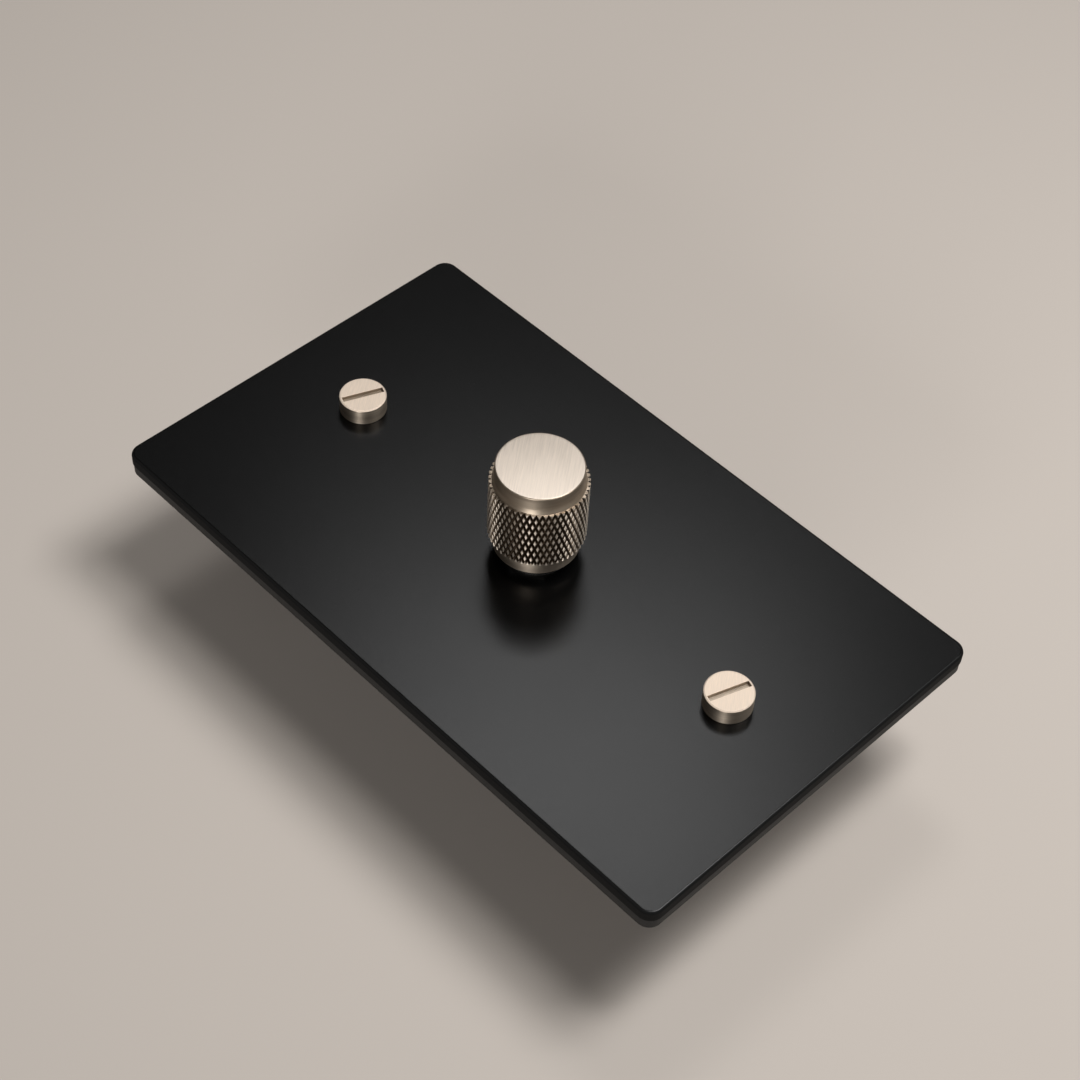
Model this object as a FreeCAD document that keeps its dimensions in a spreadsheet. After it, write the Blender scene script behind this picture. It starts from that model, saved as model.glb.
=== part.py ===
"""Rotary dimmer switch: a wall plate with a knurled push knob and its dimmer module behind.

The wall plane is z = 0, the origin lies midway between the fixing screws, +Z points out of the wall
and +Y runs along the plate's long side.
"""
import FreeCAD, Part
import math
import os

import Sketcher

# Driving sizes: millimetres, degrees for angles, plain numbers for counts and shares
SIZES = {
    # Front plate and the backing frame behind it
    "plate_length": 120.0,
    "plate_width": 71.0,
    "plate_thick": 2.0,
    "plate_corner": 2.4,
    "plate_arris": 0.5,
    "backing_thick": 2.0,
    "backing_inset": 0.15,
    "backing_edge": 0.25,
    "backing_rim": 4.0,
    "backing_recess": 0.8,
    "boss_diameter": 11.0,
    # Fixing screws
    "screw_spacing": 83.3,
    "screw_thread": 3.5,
    "screw_neck": 3.1,
    "screw_hole": 4.2,
    "screw_length": 19.0,
    "screw_tip": 0.6,
    "head_diameter": 7.9,
    "head_height": 3.1,
    "head_chamfer": 0.2,
    "slot_length": 7.1,
    "slot_width": 1.05,
    "slot_depth": 0.7,
    "slot_angle_upper": 158.0,
    "slot_angle_lower": 161.5,
    # Knob
    "knob_diameter": 14.1,
    "knob_gap": 1.8,
    "collar_height": 3.0,
    "knurl_height": 11.3,
    "neck_height": 3.2,
    "knurl_crest": 15.8,
    "knurl_root": 14.9,
    "knurl_teeth": 51,
    "knurl_rows": 9,
    "knurl_flat": 0.28,
    "shoulder_inset": 0.05,
    "shoulder_height": 0.8,
    "knob_round": 0.25,
    "knob_chamfer": 0.3,
    "nut_room": 0.5,
    "insert_diameter": 8.6,
    "insert_length": 9.5,
    "insert_fit": 0.02,
    # Control shaft and its retaining clip
    "shaft_diameter": 6.0,
    "shaft_over_flat": 4.5,
    "shaft_across_flats": 4.4,
    "shaft_end_gap": 0.3,
    "shaft_reach": 0.5,
    "shaft_chamfer": 0.5,
    "flat_runout": 0.4,
    "run_fit": 0.05,
    "push_travel": 1.5,
    "push_clearance": 0.7,
    "clip_thick": 0.8,
    "clip_diameter": 8.8,
    "clip_groove": 4.6,
    "clip_mouth": 3.4,
    "clip_gap": 0.05,
    "clip_clearance": 0.4,
    # Threaded bush, washer and nut
    "bush_diameter": 7.0,
    "bush_proud": 4.0,
    "bush_flange": 1.5,
    "bush_hole_gap": 0.1,
    "crimp_thick": 0.6,
    "crimp_width": 5.0,
    "crimp_fold": 1.2,
    "washer_diameter": 11.6,
    "washer_thick": 0.5,
    "nut_flats": 10.0,
    "nut_thick": 2.0,
    "nut_chamfer": 0.3,
    "thread_gap": 0.05,
    # Potentiometer
    "rotor_diameter": 11.6,
    "rotor_thick": 2.2,
    "lug_reach": 0.8,
    "lug_width": 3.2,
    "lug_clearance": 0.5,
    "stop_clearance": 0.3,
    "pot_wall": 1.1,
    "pot_floor": 1.0,
    "wafer_thick": 1.0,
    "wafer_gap": 0.1,
    "shaft_room": 0.3,
    "wiper_thick": 0.3,
    "wiper_drop": 0.4,
    "wiper_outer": 9.8,
    "wiper_inner": 7.2,
    "wiper_tip": 1.2,
    "track_gap": 0.05,
    "pin_diameter": 0.8,
    "pin_pitch": 2.5,
    "pin_gap": 0.1,
    # Push switch
    "switch_width": 13.0,
    "switch_depth": 10.4,
    "switch_height": 6.5,
    "switch_wall": 1.0,
    "plunger_diameter": 4.0,
    "plunger_flange": 7.0,
    "plunger_flange_thick": 0.8,
    "plunger_margin": 0.4,
    "plunger_fit": 0.1,
    "tap_gap": 0.05,
    "flange_gap": 0.1,
    "bridge_thick": 0.3,
    "bridge_length": 9.6,
    "bridge_width": 2.2,
    "bridge_room": 0.3,
    "contact_head": 2.0,
    "contact_head_thick": 0.6,
    "contact_stem": 1.2,
    "contact_gap": 0.05,
    "spring_diameter": 4.4,
    "spring_wire": 0.4,
    "spring_turns": 4,
    "spring_gap": 0.05,
    # Heat sink and the countersunk screws that hold the case to it
    "sink_thick": 1.5,
    "sink_lip": 2.0,
    "sink_gap": 0.4,
    "case_screw": 2.5,
    "case_screw_gap": 0.1,
    "case_screw_grip": 8.0,
    "countersink": 0.9,
    "flush_gap": 0.05,
    # Module case
    "case_width": 46.0,
    "case_length": 62.0,
    "case_corner": 3.0,
    "case_wall": 1.6,
    "case_floor": 1.8,
    "case_round": 0.8,
    "pillar": 6.0,
    "shelf_thick": 1.2,
    "ledge": 1.5,
    "lead_room": 3.0,
    "vent_width": 1.4,
    "vent_height": 7.0,
    "vent_pitch": 4.2,
    "vent_count": 6,
    "vent_drop": 5.0,
    # Terminals
    "terminal_pitch": 12.0,
    "terminal_width": 7.0,
    "terminal_depth": 7.6,
    "terminal_height": 9.0,
    "terminal_recess": 0.5,
    "terminal_bore": 3.2,
    "terminal_back": 1.0,
    "terminal_bore_drop": 2.8,
    "terminal_screw": 3.5,
    "terminal_screw_length": 3.4,
    "terminal_screw_gap": 0.4,
    "terminal_slot": 0.8,
    "bay_gap": 0.2,
    "bay_wall": 1.2,
    "tail_width": 2.0,
    "tail_thick": 0.8,
    "tail_lap": 1.6,
    # Circuit board and what stands on it
    "board_thick": 1.6,
    "board_gap": 0.5,
    "part_gap": 1.0,
    "choke_outer": 14.0,
    "choke_inner": 7.4,
    "choke_height": 4.6,
    "choke_wire": 0.7,
    "choke_turns": 18,
    "winding_gap": 0.05,
    "capacitor_length": 13.0,
    "capacitor_depth": 6.0,
    "capacitor_height": 7.6,
    "capacitor_round": 0.5,
    "fuse_length": 15.0,
    "fuse_diameter": 4.6,
    "fuse_cap_length": 4.0,
    "fuse_cap_wall": 0.3,
    "fuse_fit": 0.05,
    # Triac against the heat sink
    "triac_width": 10.0,
    "triac_length": 15.5,
    "triac_mould_length": 9.0,
    "triac_mould_thick": 3.2,
    "triac_tab": 1.3,
    "leg_pitch": 2.54,
    "leg_width": 0.8,
    "leg_thick": 0.5,
    "leg_out": 2.0,
    "leg_drop": 1.6,
    "rivet_diameter": 3.0,
    "rivet_head": 5.4,
    "rivet_head_thick": 1.0,
    "rivet_inset": 2.9,
    "rivet_gap": 0.1,
}

# Levels along Z, from the knob's top down to the rear of the case
FACE = "(dim.backing_thick + dim.plate_thick)"
SINK_BASE = "(dim.backing_thick - dim.sink_thick)"
BUSH_BASE = f"({SINK_BASE} - dim.bush_flange)"
BUSH_TOP = f"({FACE} + dim.bush_proud)"
NUT_BASE = f"({FACE} + dim.washer_thick)"
KNOB_BASE = f"({FACE} + dim.knob_gap)"
KNURL_BASE = f"({KNOB_BASE} + dim.collar_height)"
KNURL_TOP = f"({KNURL_BASE} + dim.knurl_height)"
KNOB_TOP = f"({KNURL_TOP} + dim.neck_height)"
INSERT_BASE = f"({BUSH_TOP} + dim.push_travel + dim.push_clearance)"
INSERT_TOP = f"({INSERT_BASE} + dim.insert_length)"
SHAFT_TOP = f"({INSERT_TOP} - dim.shaft_end_gap)"
CLIP_TOP = f"({BUSH_BASE} - dim.clip_gap)"
CLIP_BASE = f"({CLIP_TOP} - dim.clip_thick)"
ROTOR_TOP = f"({CLIP_BASE} - dim.push_travel - dim.clip_clearance)"
ROTOR_BASE = f"({ROTOR_TOP} - dim.rotor_thick)"
WIPER_BASE = f"({ROTOR_BASE} - dim.wiper_thick)"
WAFER_TOP = f"({WIPER_BASE} - dim.wiper_drop - dim.track_gap)"
WAFER_BASE = f"({WAFER_TOP} - dim.wafer_thick)"
POT_BASE = f"({WAFER_BASE} - dim.pot_floor)"
SHAFT_END = f"({POT_BASE} - dim.shaft_reach)"
PLUNGER_TOP = f"({SHAFT_END} - dim.tap_gap)"
SWITCH_TOP = f"({PLUNGER_TOP} - dim.push_travel - dim.plunger_margin)"
FLANGE_TOP = f"({SWITCH_TOP} - dim.switch_wall - dim.flange_gap)"
FLANGE_BASE = f"({FLANGE_TOP} - dim.plunger_flange_thick)"
CONTACT_TOP = f"({FLANGE_BASE} - dim.bridge_thick - dim.push_travel - dim.contact_gap)"
BOARD_TOP = f"({SWITCH_TOP} - dim.switch_height)"
BOARD_BASE = f"({BOARD_TOP} - dim.board_thick)"
CASE_FLOOR = f"({BOARD_BASE} - dim.lead_room)"
CASE_BASE = f"({CASE_FLOOR} - dim.case_floor)"
TERMINAL_BASE = f"({CASE_BASE} + dim.terminal_recess)"
BAY_TOP = f"({TERMINAL_BASE} + dim.terminal_height + dim.bay_gap)"
SHELF_TOP = f"({BAY_TOP} + dim.shelf_thick)"

# Places across the plate
SCREW_Y = "(dim.screw_spacing / 2)"
SINK_WIDTH = "(dim.case_width + 2 * dim.sink_lip)"
SINK_LENGTH = "(dim.case_length + 2 * dim.sink_lip)"
BUSH_HOLE = "(dim.bush_diameter + 2 * dim.bush_hole_gap)"
NUT_CORNERS = "(dim.nut_flats / cos(30 deg))"
POT_CAVITY = "(dim.rotor_diameter / 2 + dim.lug_reach + dim.lug_clearance)"
POT_HALF = f"({POT_CAVITY} + dim.pot_wall)"
SHAFT_HOLE = "(dim.shaft_diameter + 2 * dim.shaft_room)"
PIN_Y = "(-dim.switch_depth / 2 - dim.pin_diameter)"
CONTACT_X = "(dim.bridge_length / 2 - dim.contact_head / 2)"
INNER_X = "(dim.case_width / 2 - dim.case_wall)"
INNER_Y = "(dim.case_length / 2 - dim.case_wall)"
PILLAR_X = f"({INNER_X} - dim.pillar)"
PILLAR_Y = f"({INNER_Y} - dim.pillar)"
CASE_SCREW_X = f"({INNER_X} - dim.pillar / 2)"
CASE_SCREW_Y = f"({INNER_Y} - dim.pillar / 2)"
TERMINAL_FRONT = "(-dim.case_length / 2 + dim.terminal_recess)"
BAY_BACK = f"({TERMINAL_FRONT} + dim.terminal_depth + dim.bay_gap)"
BAY_INNER = f"({BAY_BACK} + dim.bay_wall)"
BOARD_END = f"({BAY_INNER} + dim.board_gap)"
PARTS_Y = f"({PIN_Y} - dim.pin_diameter / 2 - dim.part_gap)"
CHOKE_OUT = "(dim.choke_outer / 2 + dim.winding_gap + dim.choke_wire)"
CHOKE_Y = f"(dim.switch_depth / 2 + dim.part_gap + {CHOKE_OUT})"
TRIAC_X = f"(({POT_HALF} + {INNER_X}) / 2)"
TRIAC_START = "(-dim.triac_length / 2)"
TRIAC_END = "(dim.triac_length / 2)"
RIVET_Y = f"({TRIAC_START} + dim.rivet_inset)"

doc = FreeCAD.newDocument("rotary_dimmer")
sheet = doc.addObject("Spreadsheet::Sheet", "dim")
for row, (alias, size) in enumerate(SIZES.items(), start=1):
    sheet.set(f"A{row}", alias.replace("_", " "))
    sheet.set(f"B{row}", str(size))
    sheet.setAlias(f"B{row}", alias)
doc.recompute()

SUB_PARTS = []


def value(expression):
    """The number that an expression of sheet sizes comes to."""
    return float(sheet.evalExpression(expression))


def keep(*items):
    """Note finished sub-parts, each of which becomes one file."""
    SUB_PARTS.extend(items)


# Sketch loops: each function gives a drawing step that a sketch runs


def bind(sketch, constraint, size):
    index = sketch.addConstraint(constraint)
    sketch.setExpression(f"Constraints[{index}]", size)


def pin_point(sketch, geometry, point, x, y):
    bind(sketch, Sketcher.Constraint("DistanceX", -1, 1, geometry, point, value(x)), x)
    bind(sketch, Sketcher.Constraint("DistanceY", -1, 1, geometry, point, value(y)), y)


def polygon(*corners):
    def draw(sketch):
        spots = [FreeCAD.Vector(value(x), value(y), 0) for x, y in corners]
        first = sketch.GeometryCount
        for start, end in zip(spots, spots[1:] + spots[:1]):
            sketch.addGeometry(Part.LineSegment(start, end), False)
        for step, (x, y) in enumerate(corners):
            following = first + (step + 1) % len(corners)
            sketch.addConstraint(Sketcher.Constraint("Coincident", first + step, 2, following, 1))
            pin_point(sketch, first + step, 1, x, y)

    return draw


def rectangle(x_low, x_high, y_low, y_high):
    return polygon((x_low, y_low), (x_high, y_low), (x_high, y_high), (x_low, y_high))


def centred(width, length, x="0", y="0"):
    return rectangle(
        f"{x} - {width} / 2", f"{x} + {width} / 2", f"{y} - {length} / 2", f"{y} + {length} / 2"
    )


def circle(x, y, diameter):
    def draw(sketch):
        middle = FreeCAD.Vector(value(x), value(y), 0)
        ring = Part.Circle(middle, FreeCAD.Vector(0, 0, 1), value(diameter) / 2)
        index = sketch.addGeometry(ring, False)
        pin_point(sketch, index, 3, x, y)
        bind(sketch, Sketcher.Constraint("Diameter", index, value(diameter)), diameter)

    return draw


def rounded(width, length, corner):
    """A rectangle about the origin with equal tangent corner arcs."""

    def draw(sketch):
        half_x, half_y, radius = value(width) / 2, value(length) / 2, value(corner)
        in_x, in_y = half_x - radius, half_y - radius
        first = sketch.GeometryCount
        sides = [
            ((-in_x, -half_y), (in_x, -half_y), (in_x, -in_y)),
            ((half_x, -in_y), (half_x, in_y), (in_x, in_y)),
            ((in_x, half_y), (-in_x, half_y), (-in_x, in_y)),
            ((-half_x, in_y), (-half_x, -in_y), (-in_x, -in_y)),
        ]
        for turn, (start, end, middle) in enumerate(sides):
            sketch.addGeometry(Part.LineSegment(FreeCAD.Vector(*start), FreeCAD.Vector(*end)), False)
            bend = Part.Circle(FreeCAD.Vector(*middle), FreeCAD.Vector(0, 0, 1), radius)
            start_angle = (turn - 1) * math.pi / 2
            sketch.addGeometry(Part.ArcOfCircle(bend, start_angle, start_angle + math.pi / 2), False)
        for turn in range(4):
            line, arc, following = first + 2 * turn, first + 2 * turn + 1, first + (2 * turn + 2) % 8
            level = turn % 2 == 0
            sketch.addConstraint(Sketcher.Constraint("Tangent", line, 2, arc, 1))
            sketch.addConstraint(Sketcher.Constraint("Tangent", arc, 2, following, 1))
            sketch.addConstraint(Sketcher.Constraint("Horizontal" if level else "Vertical", line))
            if turn:
                sketch.addConstraint(Sketcher.Constraint("Equal", first + 1, arc))
            span = length if level else width
            sign = "-" if turn in (0, 3) else ""
            place = f"{sign}{span} / 2"
            kind = "DistanceY" if level else "DistanceX"
            bind(sketch, Sketcher.Constraint(kind, -1, 1, line, 1, value(place)), place)
        bind(sketch, Sketcher.Constraint("Radius", first + 1, radius), corner)

    return draw


# Solid steps


def new_body(label):
    return doc.addObject("PartDesign::Body", label)


def sketch_on(body, name, role, offset, loops):
    """A sketch on one of the body's own origin planes, shifted along the plane's normal."""
    plane = next(item for item in body.Origin.OriginFeatures if item.Role == role)
    sketch = body.newObject("Sketcher::SketchObject", name)
    sketch.AttachmentSupport = [(plane, "")]
    sketch.MapMode = "FlatFace"
    sketch.setExpression("AttachmentOffset.Base.z", offset)
    for draw in loops:
        draw(sketch)
    return sketch


def extrude(kind, body, name, loops, base, height, role, **options):
    sketch = sketch_on(body, f"{name}_outline", role, base, loops)
    feature = body.newObject(kind, name)
    feature.Profile = sketch
    feature.setExpression("Length", height)
    for option, setting in options.items():
        setattr(feature, option, setting)
    return feature


def pad(body, name, loops, base, height, role="XY_Plane", **options):
    return extrude("PartDesign::Pad", body, name, loops, base, height, role, **options)


def pocket(body, name, loops, base, depth, role="XY_Plane", **options):
    return extrude("PartDesign::Pocket", body, name, loops, base, depth, role, **options)


def turned(label, *corners):
    """A solid of revolution about Z from (radius, height) corners."""
    body = new_body(label)
    sketch = sketch_on(body, f"{label}_profile", "XZ_Plane", "0", [polygon(*corners)])
    spin = body.newObject("PartDesign::Revolution", f"{label}_turning")
    spin.Profile = sketch
    spin.ReferenceAxis = (sketch, ["V_Axis"])
    spin.Angle = 360
    return body


def dress(kind, size_name, body, name, size, chosen):
    """Fillet or chamfer those edges of the body for which chosen(edge) is true."""
    doc.recompute()
    base = body.Tip
    edges = [f"Edge{number}" for number, edge in enumerate(base.Shape.Edges, start=1) if chosen(edge)]
    feature = body.newObject(kind, name)
    feature.Base = (base, edges)
    feature.setExpression(size_name, size)
    return feature


def fillet(body, name, size, chosen):
    return dress("PartDesign::Fillet", "Radius", body, name, size, chosen)


def chamfer(body, name, size, chosen):
    return dress("PartDesign::Chamfer", "Size", body, name, size, chosen)


def at_level(edge, level):
    box = edge.BoundBox
    return abs(box.ZMin - value(level)) < 1e-6 and abs(box.ZMax - value(level)) < 1e-6


def upright(edge):
    box = edge.BoundBox
    return box.ZLength > 1e-6 and box.XLength < 1e-6 and box.YLength < 1e-6


def place(item, x="0", y="0", z="0"):
    for axis, size in zip("xyz", (x, y, z)):
        item.setExpression(f"Placement.Base.{axis}", size)


def cylinder(name, radius, base, height, x="0", y="0"):
    item = doc.addObject("Part::Cylinder", name)
    item.setExpression("Radius", radius)
    item.setExpression("Height", height)
    place(item, x, y, base)
    return item


def slab(name, x_low, width, length, base, height):
    """A box that starts at x_low, centred on the X axis."""
    item = doc.addObject("Part::Box", name)
    item.setExpression("Length", width)
    item.setExpression("Width", length)
    item.setExpression("Height", height)
    place(item, x_low, f"-{length} / 2", base)
    return item


def combine(kind, label, base, tool):
    item = doc.addObject(kind, label)
    item.Base = base
    item.Tool = tool
    return item


def group(label, items):
    """One sub-part of several alike solids."""
    item = doc.addObject("Part::Compound", label)
    item.Links = items
    return item


# Wall plate


def make_front_plate():
    body = new_body("front_plate")
    outline = rounded("dim.plate_width", "dim.plate_length", "dim.plate_corner")
    holes = [
        circle("0", "0", BUSH_HOLE),
        circle("0", SCREW_Y, "dim.screw_hole"),
        circle("0", f"-{SCREW_Y}", "dim.screw_hole"),
    ]
    pad(body, "plate_sheet", [outline, *holes], "dim.backing_thick", "dim.plate_thick")
    fillet(
        body, "plate_edge", "dim.plate_arris", lambda edge: at_level(edge, FACE) and not edge.isClosed()
    )
    keep(body)


def make_backing_frame():
    body = new_body("backing_frame")
    top = "dim.backing_thick"
    width = "(dim.plate_width - 2 * dim.backing_inset)"
    length = "(dim.plate_length - 2 * dim.backing_inset)"
    opening_width = f"({SINK_WIDTH} + 2 * dim.sink_gap)"
    opening_length = f"({SINK_LENGTH} + 2 * dim.sink_gap)"
    outline = rounded(width, length, "(dim.plate_corner - dim.backing_inset)")
    holes = [circle("0", SCREW_Y, "dim.screw_hole"), circle("0", f"-{SCREW_Y}", "dim.screw_hole")]
    pad(body, "frame_sheet", [outline, *holes], "0", top)
    chamfer(
        body, "frame_edge", "dim.backing_edge", lambda edge: at_level(edge, top) and not edge.isClosed()
    )
    opening = rounded(opening_width, opening_length, "(dim.case_corner + dim.sink_gap)")
    pocket(body, "frame_opening", [opening], "0", top, Reversed=True)
    # A shallow pocket behind each end leaves a seating rim, and a boss is put back round the screw
    side = f"({width} / 2 - dim.backing_rim)"
    inner = f"({opening_length} / 2 + dim.backing_rim)"
    outer = f"({length} / 2 - dim.backing_rim)"
    pockets = [
        rectangle(f"-{side}", side, inner, outer),
        rectangle(f"-{side}", side, f"-{outer}", f"-{inner}"),
    ]
    pocket(body, "frame_pockets", pockets, "0", "dim.backing_recess", Reversed=True)
    for name, y in (("boss_upper", SCREW_Y), ("boss_lower", f"-{SCREW_Y}")):
        ring = [circle("0", y, "dim.boss_diameter"), circle("0", y, "dim.screw_hole")]
        pad(body, name, ring, "0", "dim.backing_recess")
    keep(body)


def make_fixing_screw(label, y, slot_angle):
    """A cheese head on the plate, a plain neck through it and the thread from the wall plane down."""
    head = "(dim.head_diameter / 2)"
    neck = "(dim.screw_neck / 2)"
    thread = "(dim.screw_thread / 2)"
    top = f"({FACE} + dim.head_height)"
    end = f"({FACE} - dim.screw_length)"
    body = turned(
        label,
        ("0", end),
        (f"{thread} - dim.screw_tip", end),
        (thread, f"{end} + dim.screw_tip"),
        (thread, "0"),
        (neck, "0"),
        (neck, FACE),
        (head, FACE),
        (head, f"{top} - dim.head_chamfer"),
        (f"{head} - dim.head_chamfer", top),
        ("0", top),
    )
    pocket(body, f"{label}_slot", [centred("dim.slot_length", "dim.slot_width")], top, "dim.slot_depth")
    body.Placement = FreeCAD.Placement(FreeCAD.Vector(), FreeCAD.Rotation(FreeCAD.Vector(0, 0, 1), 90))
    body.setExpression("Placement.Rotation.Angle", slot_angle)
    place(body, y=y)
    return body


def make_fixing_screws():
    upper = make_fixing_screw("fixing_screw_upper", SCREW_Y, "dim.slot_angle_upper")
    lower = make_fixing_screw("fixing_screw_lower", f"-{SCREW_Y}", "dim.slot_angle_lower")
    keep(group("fixing_screws", [upper, lower]))


# Knob


def diamond(ring, peak, closed=True):
    """The faces of one knurl point: slopes from its root points towards the peak, cut by a flat tip.

    ring holds (root point, share of the slope that the flat takes), anticlockwise seen from outside.
    An open ring leaves out the slope from its last point to its first.
    """
    tips = [peak + (corner - peak) * share for corner, share in ring]
    corners = [corner for corner, _ in ring]
    faces = [tips]
    for step in range(len(ring) if closed else len(ring) - 1):
        following = (step + 1) % len(ring)
        faces.append([corners[step], corners[following], tips[following], tips[step]])
    return faces


def make_knurl_bar():
    """A bar with crossed right and left hand ridges: rows of diamond points, each row half a pitch on.

    The bar's flat ends cut the first and last rows to half points.
    """
    teeth, rows = round(value("dim.knurl_teeth")), round(value("dim.knurl_rows"))
    root, crest = value("dim.knurl_root") / 2, value("dim.knurl_crest") / 2
    base, lift = value(KNURL_BASE), value("dim.knurl_height") / rows
    pitch = 2 * math.pi / teeth
    sharp = root + (crest - root) / (1 - value("dim.knurl_flat"))
    end_share = (sharp - crest) / (sharp - root)
    side_share = (sharp - crest) / (sharp - root * math.cos(pitch / 2))

    def point(radius, column, level):
        angle = column % teeth * pitch
        return FreeCAD.Vector(radius * math.cos(angle), radius * math.sin(angle), base + level * lift)

    outlines = []
    ends = {0: [], rows: []}
    for level in range(rows + 1):
        for tooth in range(teeth):
            column = tooth + level % 2 / 2
            middle = column + 0.5
            left = (point(root, column, level), side_share)
            right = (point(root, column + 1, level), side_share)
            above = (point(root, middle, level + 1), end_share)
            below = (point(root, middle, level - 1), end_share)
            peak = point(sharp, middle, level)
            if level == 0:
                faces = diamond([right, above, left], peak, closed=False)
                ends[level].extend([left[0], faces[0][2], faces[0][0]])
            elif level == rows:
                faces = diamond([left, below, right], peak, closed=False)
                ends[level].extend([left[0], faces[0][0], faces[0][2]])
            else:
                faces = diamond([right, above, left, below], peak)
            outlines.extend(faces)
    outlines.extend(ends.values())
    shell = Part.Shell([Part.Face(Part.makePolygon([*outline, outline[0]])) for outline in outlines])
    shell.sewShape()
    bar = doc.addObject("Part::Feature", "knurl_bar")
    bar.Shape = Part.Solid(shell)
    return bar


def make_knob():
    radius = "(dim.knob_diameter / 2)"
    shoulder = "(dim.knurl_root / 2 - dim.shoulder_inset)"
    blank = turned(
        "knob_blank",
        ("0", KNOB_BASE),
        (radius, KNOB_BASE),
        (radius, f"{KNURL_TOP} - dim.shoulder_height"),
        (shoulder, f"{KNURL_TOP} - dim.shoulder_height"),
        (shoulder, KNURL_TOP),
        (radius, f"{KNURL_TOP} + dim.shoulder_height"),
        (radius, KNOB_TOP),
        ("0", KNOB_TOP),
    )
    fillet(blank, "knob_top_edge", "dim.knob_round", lambda edge: at_level(edge, KNOB_TOP))
    chamfer(blank, "knob_foot_edge", "dim.knob_chamfer", lambda edge: at_level(edge, KNOB_BASE))
    counterbore = f"({NUT_CORNERS} / 2 + dim.nut_room)"
    bore = "(dim.insert_diameter / 2 + dim.insert_fit)"
    hollow = turned(
        "knob_hollow",
        ("0", f"{KNOB_BASE} - dim.knob_gap"),
        (counterbore, f"{KNOB_BASE} - dim.knob_gap"),
        (counterbore, INSERT_BASE),
        (bore, INSERT_BASE),
        (bore, INSERT_TOP),
        ("0", INSERT_TOP),
    )
    outside = combine("Part::Fuse", "knob_outside", blank, make_knurl_bar())
    outside.Refine = False
    knob = combine("Part::Cut", "knob", outside, hollow)
    knob.Refine = False
    keep(knob)


def make_knob_insert():
    length = "dim.insert_length"
    blank = cylinder("insert_blank", "dim.insert_diameter / 2", INSERT_BASE, length)
    bore = cylinder("insert_round", "dim.shaft_diameter / 2 + dim.insert_fit", INSERT_BASE, length)
    reach = "(dim.shaft_diameter / 2 + dim.insert_fit)"
    flat = slab("insert_flat", f"-{reach}", "dim.shaft_over_flat + 2 * dim.insert_fit", f"(2 * {reach})",
                INSERT_BASE, length)
    hole = combine("Part::Common", "insert_hole", bore, flat)
    keep(combine("Part::Cut", "knob_insert", blank, hole))


# Control shaft


def make_control_shaft():
    radius = "(dim.shaft_diameter / 2)"
    groove = "(dim.clip_groove / 2)"
    body = turned(
        "control_shaft",
        ("0", SHAFT_END),
        (radius, SHAFT_END),
        (radius, CLIP_BASE),
        (groove, CLIP_BASE),
        (groove, CLIP_TOP),
        (radius, CLIP_TOP),
        (radius, f"{SHAFT_TOP} - dim.shaft_chamfer"),
        (f"{radius} - dim.shaft_chamfer", SHAFT_TOP),
        ("0", SHAFT_TOP),
    )
    flat = f"(dim.shaft_over_flat - {radius})"
    pocket(body, "knob_flat", [rectangle(flat, f"2 * {radius}", f"-{radius}", radius)], SHAFT_TOP,
           f"{SHAFT_TOP} - {INSERT_BASE} + dim.flat_runout")
    inside = "(dim.shaft_across_flats / 2)"
    flats = [
        rectangle(inside, f"2 * {radius}", f"-{radius}", radius),
        rectangle(f"-2 * {radius}", f"-{inside}", f"-{radius}", radius),
    ]
    start = f"({CLIP_BASE} - dim.flat_runout)"
    pocket(body, "rotor_flats", flats, start, f"{start} - {SHAFT_END}")
    keep(body)


def make_shaft_clip():
    outer = cylinder("clip_round", "dim.clip_diameter / 2", CLIP_BASE, "dim.clip_thick")
    inner = cylinder("clip_hole", "dim.clip_groove / 2 + dim.insert_fit", CLIP_BASE, "dim.clip_thick")
    ring = combine("Part::Cut", "clip_ring", outer, inner)
    mouth = slab("clip_opening", "0", "dim.clip_diameter", "dim.clip_mouth", CLIP_BASE, "dim.clip_thick")
    keep(combine("Part::Cut", "shaft_clip", ring, mouth))


# Threaded bush and what clamps it


def make_pot_bush():
    """The bush with its square cover, whose two tabs fold under the potentiometer case."""
    body = new_body("pot_bush")
    side = f"(2 * {POT_HALF})"
    pad(body, "bush_cover", [centred(side, side)], BUSH_BASE, "dim.bush_flange")
    barrel = circle("0", "0", "dim.bush_diameter")
    pad(body, "bush_barrel", [barrel], SINK_BASE, f"{BUSH_TOP} - {SINK_BASE}")
    outside = f"({POT_HALF} + dim.crimp_thick)"
    inside = f"({POT_HALF} - dim.crimp_fold)"
    under = f"({POT_BASE} - dim.crimp_thick)"
    for name, sign in (("crimp_front", ""), ("crimp_back", "-")):
        hook = polygon(
            (f"{sign}{POT_HALF}", SINK_BASE),
            (f"{sign}{outside}", SINK_BASE),
            (f"{sign}{outside}", under),
            (f"{sign}{inside}", under),
            (f"{sign}{inside}", POT_BASE),
            (f"{sign}{POT_HALF}", POT_BASE),
        )
        pad(body, name, [hook], "0", "dim.crimp_width", "YZ_Plane", SideType="Symmetric")
    bore = "(dim.shaft_diameter + 2 * dim.run_fit)"
    pocket(body, "bush_bore", [circle("0", "0", bore)], BUSH_TOP, f"{BUSH_TOP} - {BUSH_BASE}")
    keep(body)


def make_bush_washer():
    body = new_body("bush_washer")
    loops = [circle("0", "0", "dim.washer_diameter"), circle("0", "0", BUSH_HOLE)]
    pad(body, "washer_sheet", loops, FACE, "dim.washer_thick")
    keep(body)


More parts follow.
